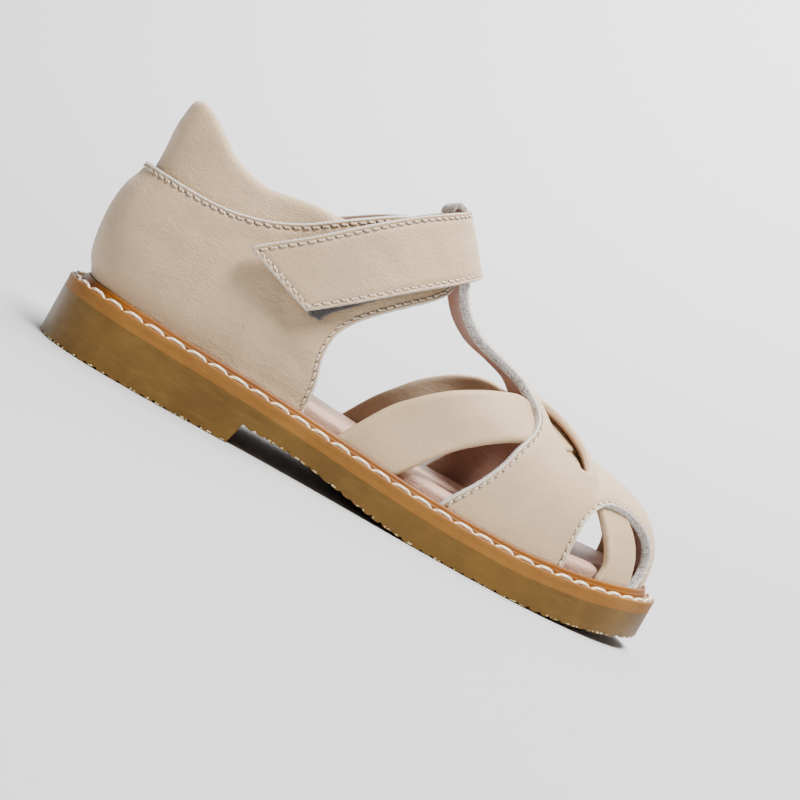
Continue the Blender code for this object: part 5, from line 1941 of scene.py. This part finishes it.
@dataclass
class Closure:
    """The hook-and-loop tape under the strap's free end, with its nap.

    Attributes:
        finishes: The materials.
        outline: The tape, as shares of the reach over the instep and of the strap's width.
    """

    finishes: Finishes
    outline: tuple[tuple[float, float], ...] = (
        (0.0594, -0.3438), (0.62, -0.3438), (0.62, 0.515), (0.45, 0.535), (0.3, 0.56), (0.2, 0.58),
        (0.135, 0.615), (0.112, 0.66), (0.088, 0.6), (0.0594, 0.48),
    )

    def build(self) -> list[bpy.types.Object]:
        """Builds and dresses the tape and the loose fibres along its edge."""
        sunk = LAST.LEATHER + LAST.GAP
        sheet = Sheet(
            LAST.strap, on_strap(self.outline), Edges.PLAIN.value, 1.0 * MM,
            depth=lambda flat: np.full(len(flat), sunk), relief=Relief(swing=0.1, size=(1.1, 1.1), seed=2.0),
        )
        tape = dress(sheet.build("closure_pad"), *[self.finishes.tape] * 3)
        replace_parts(tape, "closure_tape")
        random = np.random.default_rng(9)
        edge = even_edge(on_strap(self.outline), 0.3 * MM)
        way = inward(edge)
        tubes = Tubes()
        tubes.SIDES = 4
        for index in range(len(edge)):
            start = edge[index] + way[index] * random.uniform(0.1, 0.9) * MM
            reach = random.uniform(0.4, 1.1) * MM
            flat = start - way[index] * np.linspace(0, 1, 5)[:, None] * reach
            flat += random.normal(0, 0.12 * MM, (5, 2)) * np.linspace(0, 1, 5)[:, None]
            spots = LAST.strap(flat)
            ways = LAST.normal(LAST.strap, flat)
            drop = sunk + random.uniform(0.1, 0.9) * MM + np.linspace(0, 1, 5) ** 2 * random.normal(0.1, 0.25) * MM
            tubes.add(spots - ways * drop[:, None], ways, np.full(5, 0.045 * MM))
        fibres = dress(tubes.build("closure_fibres"), self.finishes.lint)
        pieces = [tape, fibres]
        for piece in pieces:
            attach(piece, "root")
        return pieces


@dataclass(frozen=True)
class Lamp:
    """A round soft light.

    Attributes:
        name: Its name.
        middle: The place that it points at.
        way: The direction from there to the light.
        distance: The distance between them.
        size: Its diameter.
        power: In watts.
        tint: Its colour.
    """

    name: str
    middle: tuple[float, float, float]
    way: tuple[float, float, float]
    distance: float
    size: float
    power: float
    tint: tuple[float, float, float] = (1.0, 1.0, 1.0)


@dataclass
class Studio:
    """The pale floor and backdrop, the soft lights and the camera at the photo's angle.

    Attributes:
        turn: The camera's turn from the outer side, in degrees.
        rise: Its height above the horizon, in degrees.
        roll: Its roll, in degrees.
        distance: Its distance from the target.
        target: The place that it points at.
        lens: Its focal length in mm.
        lamps: The lights.
    """

    turn: float = -9.516
    rise: float = 2.496
    roll: float = 29.684
    distance: float = 0.4
    target: tuple[float, float, float] = (0.0009, 0.0, 0.02691)
    lens: float = 72.5
    lamps: tuple[Lamp, ...] = (
        Lamp("key", (0.0, 0.0, 0.03), (0.14, -0.4, 1.0), 0.9, 0.34, 20.0, (1.0, 0.985, 0.955)),
        Lamp("fill", (0.0, 0.0, 0.03), (-0.35, -1.0, 0.3), 1.2, 0.7, 0.8, (0.97, 0.985, 1.0)),
        Lamp("back", (0.0, 0.0, 0.03), (0.5, 1.0, 0.9), 1.1, 0.8, 3.5),
        Lamp("paper", (0.3, 1.0, 0.35), (0.0, -0.62, 1.0), 1.2, 1.0, 32.0),
    )

    def _frame(self) -> tuple[Vector, Vector, Vector]:
        """Gives the camera's right, up and backward directions."""
        a, e, r = (math.radians(value) for value in (self.turn, self.rise, self.roll))
        back = Vector((math.sin(a) * math.cos(e), -math.cos(a) * math.cos(e), math.sin(e)))
        right = Vector((math.cos(a), math.sin(a), 0))
        up = back.cross(right)
        return (
            math.cos(r) * right + math.sin(r) * up,
            -math.sin(r) * right + math.cos(r) * up,
            back,
        )

    def camera(self) -> None:
        """Adds the camera."""
        right, up, back = self._frame()
        data = bpy.data.cameras.new("photo_camera")
        data.lens = self.lens
        data.sensor_width = 36
        data.clip_start = 0.01
        view = bpy.data.objects.new("photo_camera", data)
        bpy.context.scene.collection.objects.link(view)
        matrix = Matrix((right, up, back)).transposed().to_4x4()
        matrix.translation = Vector(self.target) + back * self.distance
        view.matrix_world = matrix
        bpy.context.scene.camera = view

    def backdrop(self) -> None:
        """Adds the floor that curves up into the backdrop, away from the camera."""
        _, _, back = self._frame()
        away = Vector((-back.x, -back.y, 0)).normalized()
        side = Vector((away.y, -away.x, 0))
        profile = [(-3.0, 0.0), (0.25, 0.0)]
        profile += [(0.25 + 0.9 * math.sin(t), 0.9 - 0.9 * math.cos(t)) for t in np.linspace(0.05, math.pi / 2, 24)]
        profile += [(1.15, 1.8), (1.15, 5.0)]
        points = []
        for ahead, height in profile:
            for aside in (-5.0, 5.0):
                points.append(tuple(away * ahead + side * aside + Vector((0, 0, height))))
        faces = [(2 * i, 2 * i + 1, 2 * i + 3, 2 * i + 2) for i in range(len(profile) - 1)]
        mesh = bpy.data.meshes.new("backdrop")
        mesh.from_pydata(points, [], faces)
        mesh.polygons.foreach_set("use_smooth", [True] * len(faces))
        floor = bpy.data.objects.new("backdrop", mesh)
        bpy.context.scene.collection.objects.link(floor)
        g = Graph("paper")
        depth = g.put("ShaderNodeSeparateXYZ", {0: g.place}).outputs[1]
        colour = g.mix(g.span(depth, 0.1, 1.1), srgb(196, 196, 198), srgb(246, 246, 247))
        dress(floor, g.finish(colour, 0.85, g.bump(g.noise(900, 3), 0.02 * MM, 0.4), Specular_IOR_Level=0.2))

    def lights(self) -> None:
        """Adds the soft lights: the big one above, a fill, one behind and one on the paper."""
        for lamp in self.lamps:
            data = bpy.data.lights.new(lamp.name, "AREA")
            data.shape = "DISK"
            data.size = lamp.size
            data.energy = lamp.power
            data.color = lamp.tint
            light = bpy.data.objects.new(lamp.name, data)
            bpy.context.scene.collection.objects.link(light)
            middle = Vector(lamp.middle)
            spot = middle + Vector(lamp.way).normalized() * lamp.distance
            light.matrix_world = (middle - spot).to_track_quat("-Z", "Y").to_matrix().to_4x4()
            light.location = spot
        world = bpy.data.worlds.new("studio")
        world.use_nodes = True
        background = world.node_tree.nodes["Background"]
        background.inputs[0].default_value = (0.9, 0.93, 0.97, 1)
        background.inputs[1].default_value = 0.09
        bpy.context.scene.world = world

    def build(self) -> None:
        """Adds the whole studio."""
        self.camera()
        self.backdrop()
        self.lights()


def main() -> None:
    """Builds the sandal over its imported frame, piece by piece."""
    logging.basicConfig(level=logging.INFO, format="%(message)s")
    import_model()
    finishes = Finishes()
    for part in (Sole(finishes), Collar(finishes), Upper(finishes), Closure(finishes)):
        for piece in part.build():
            LOG.info("%s: %d faces", piece.name, len(piece.data.polygons))
    Studio().build()


if __name__ == "__main__":
    main()
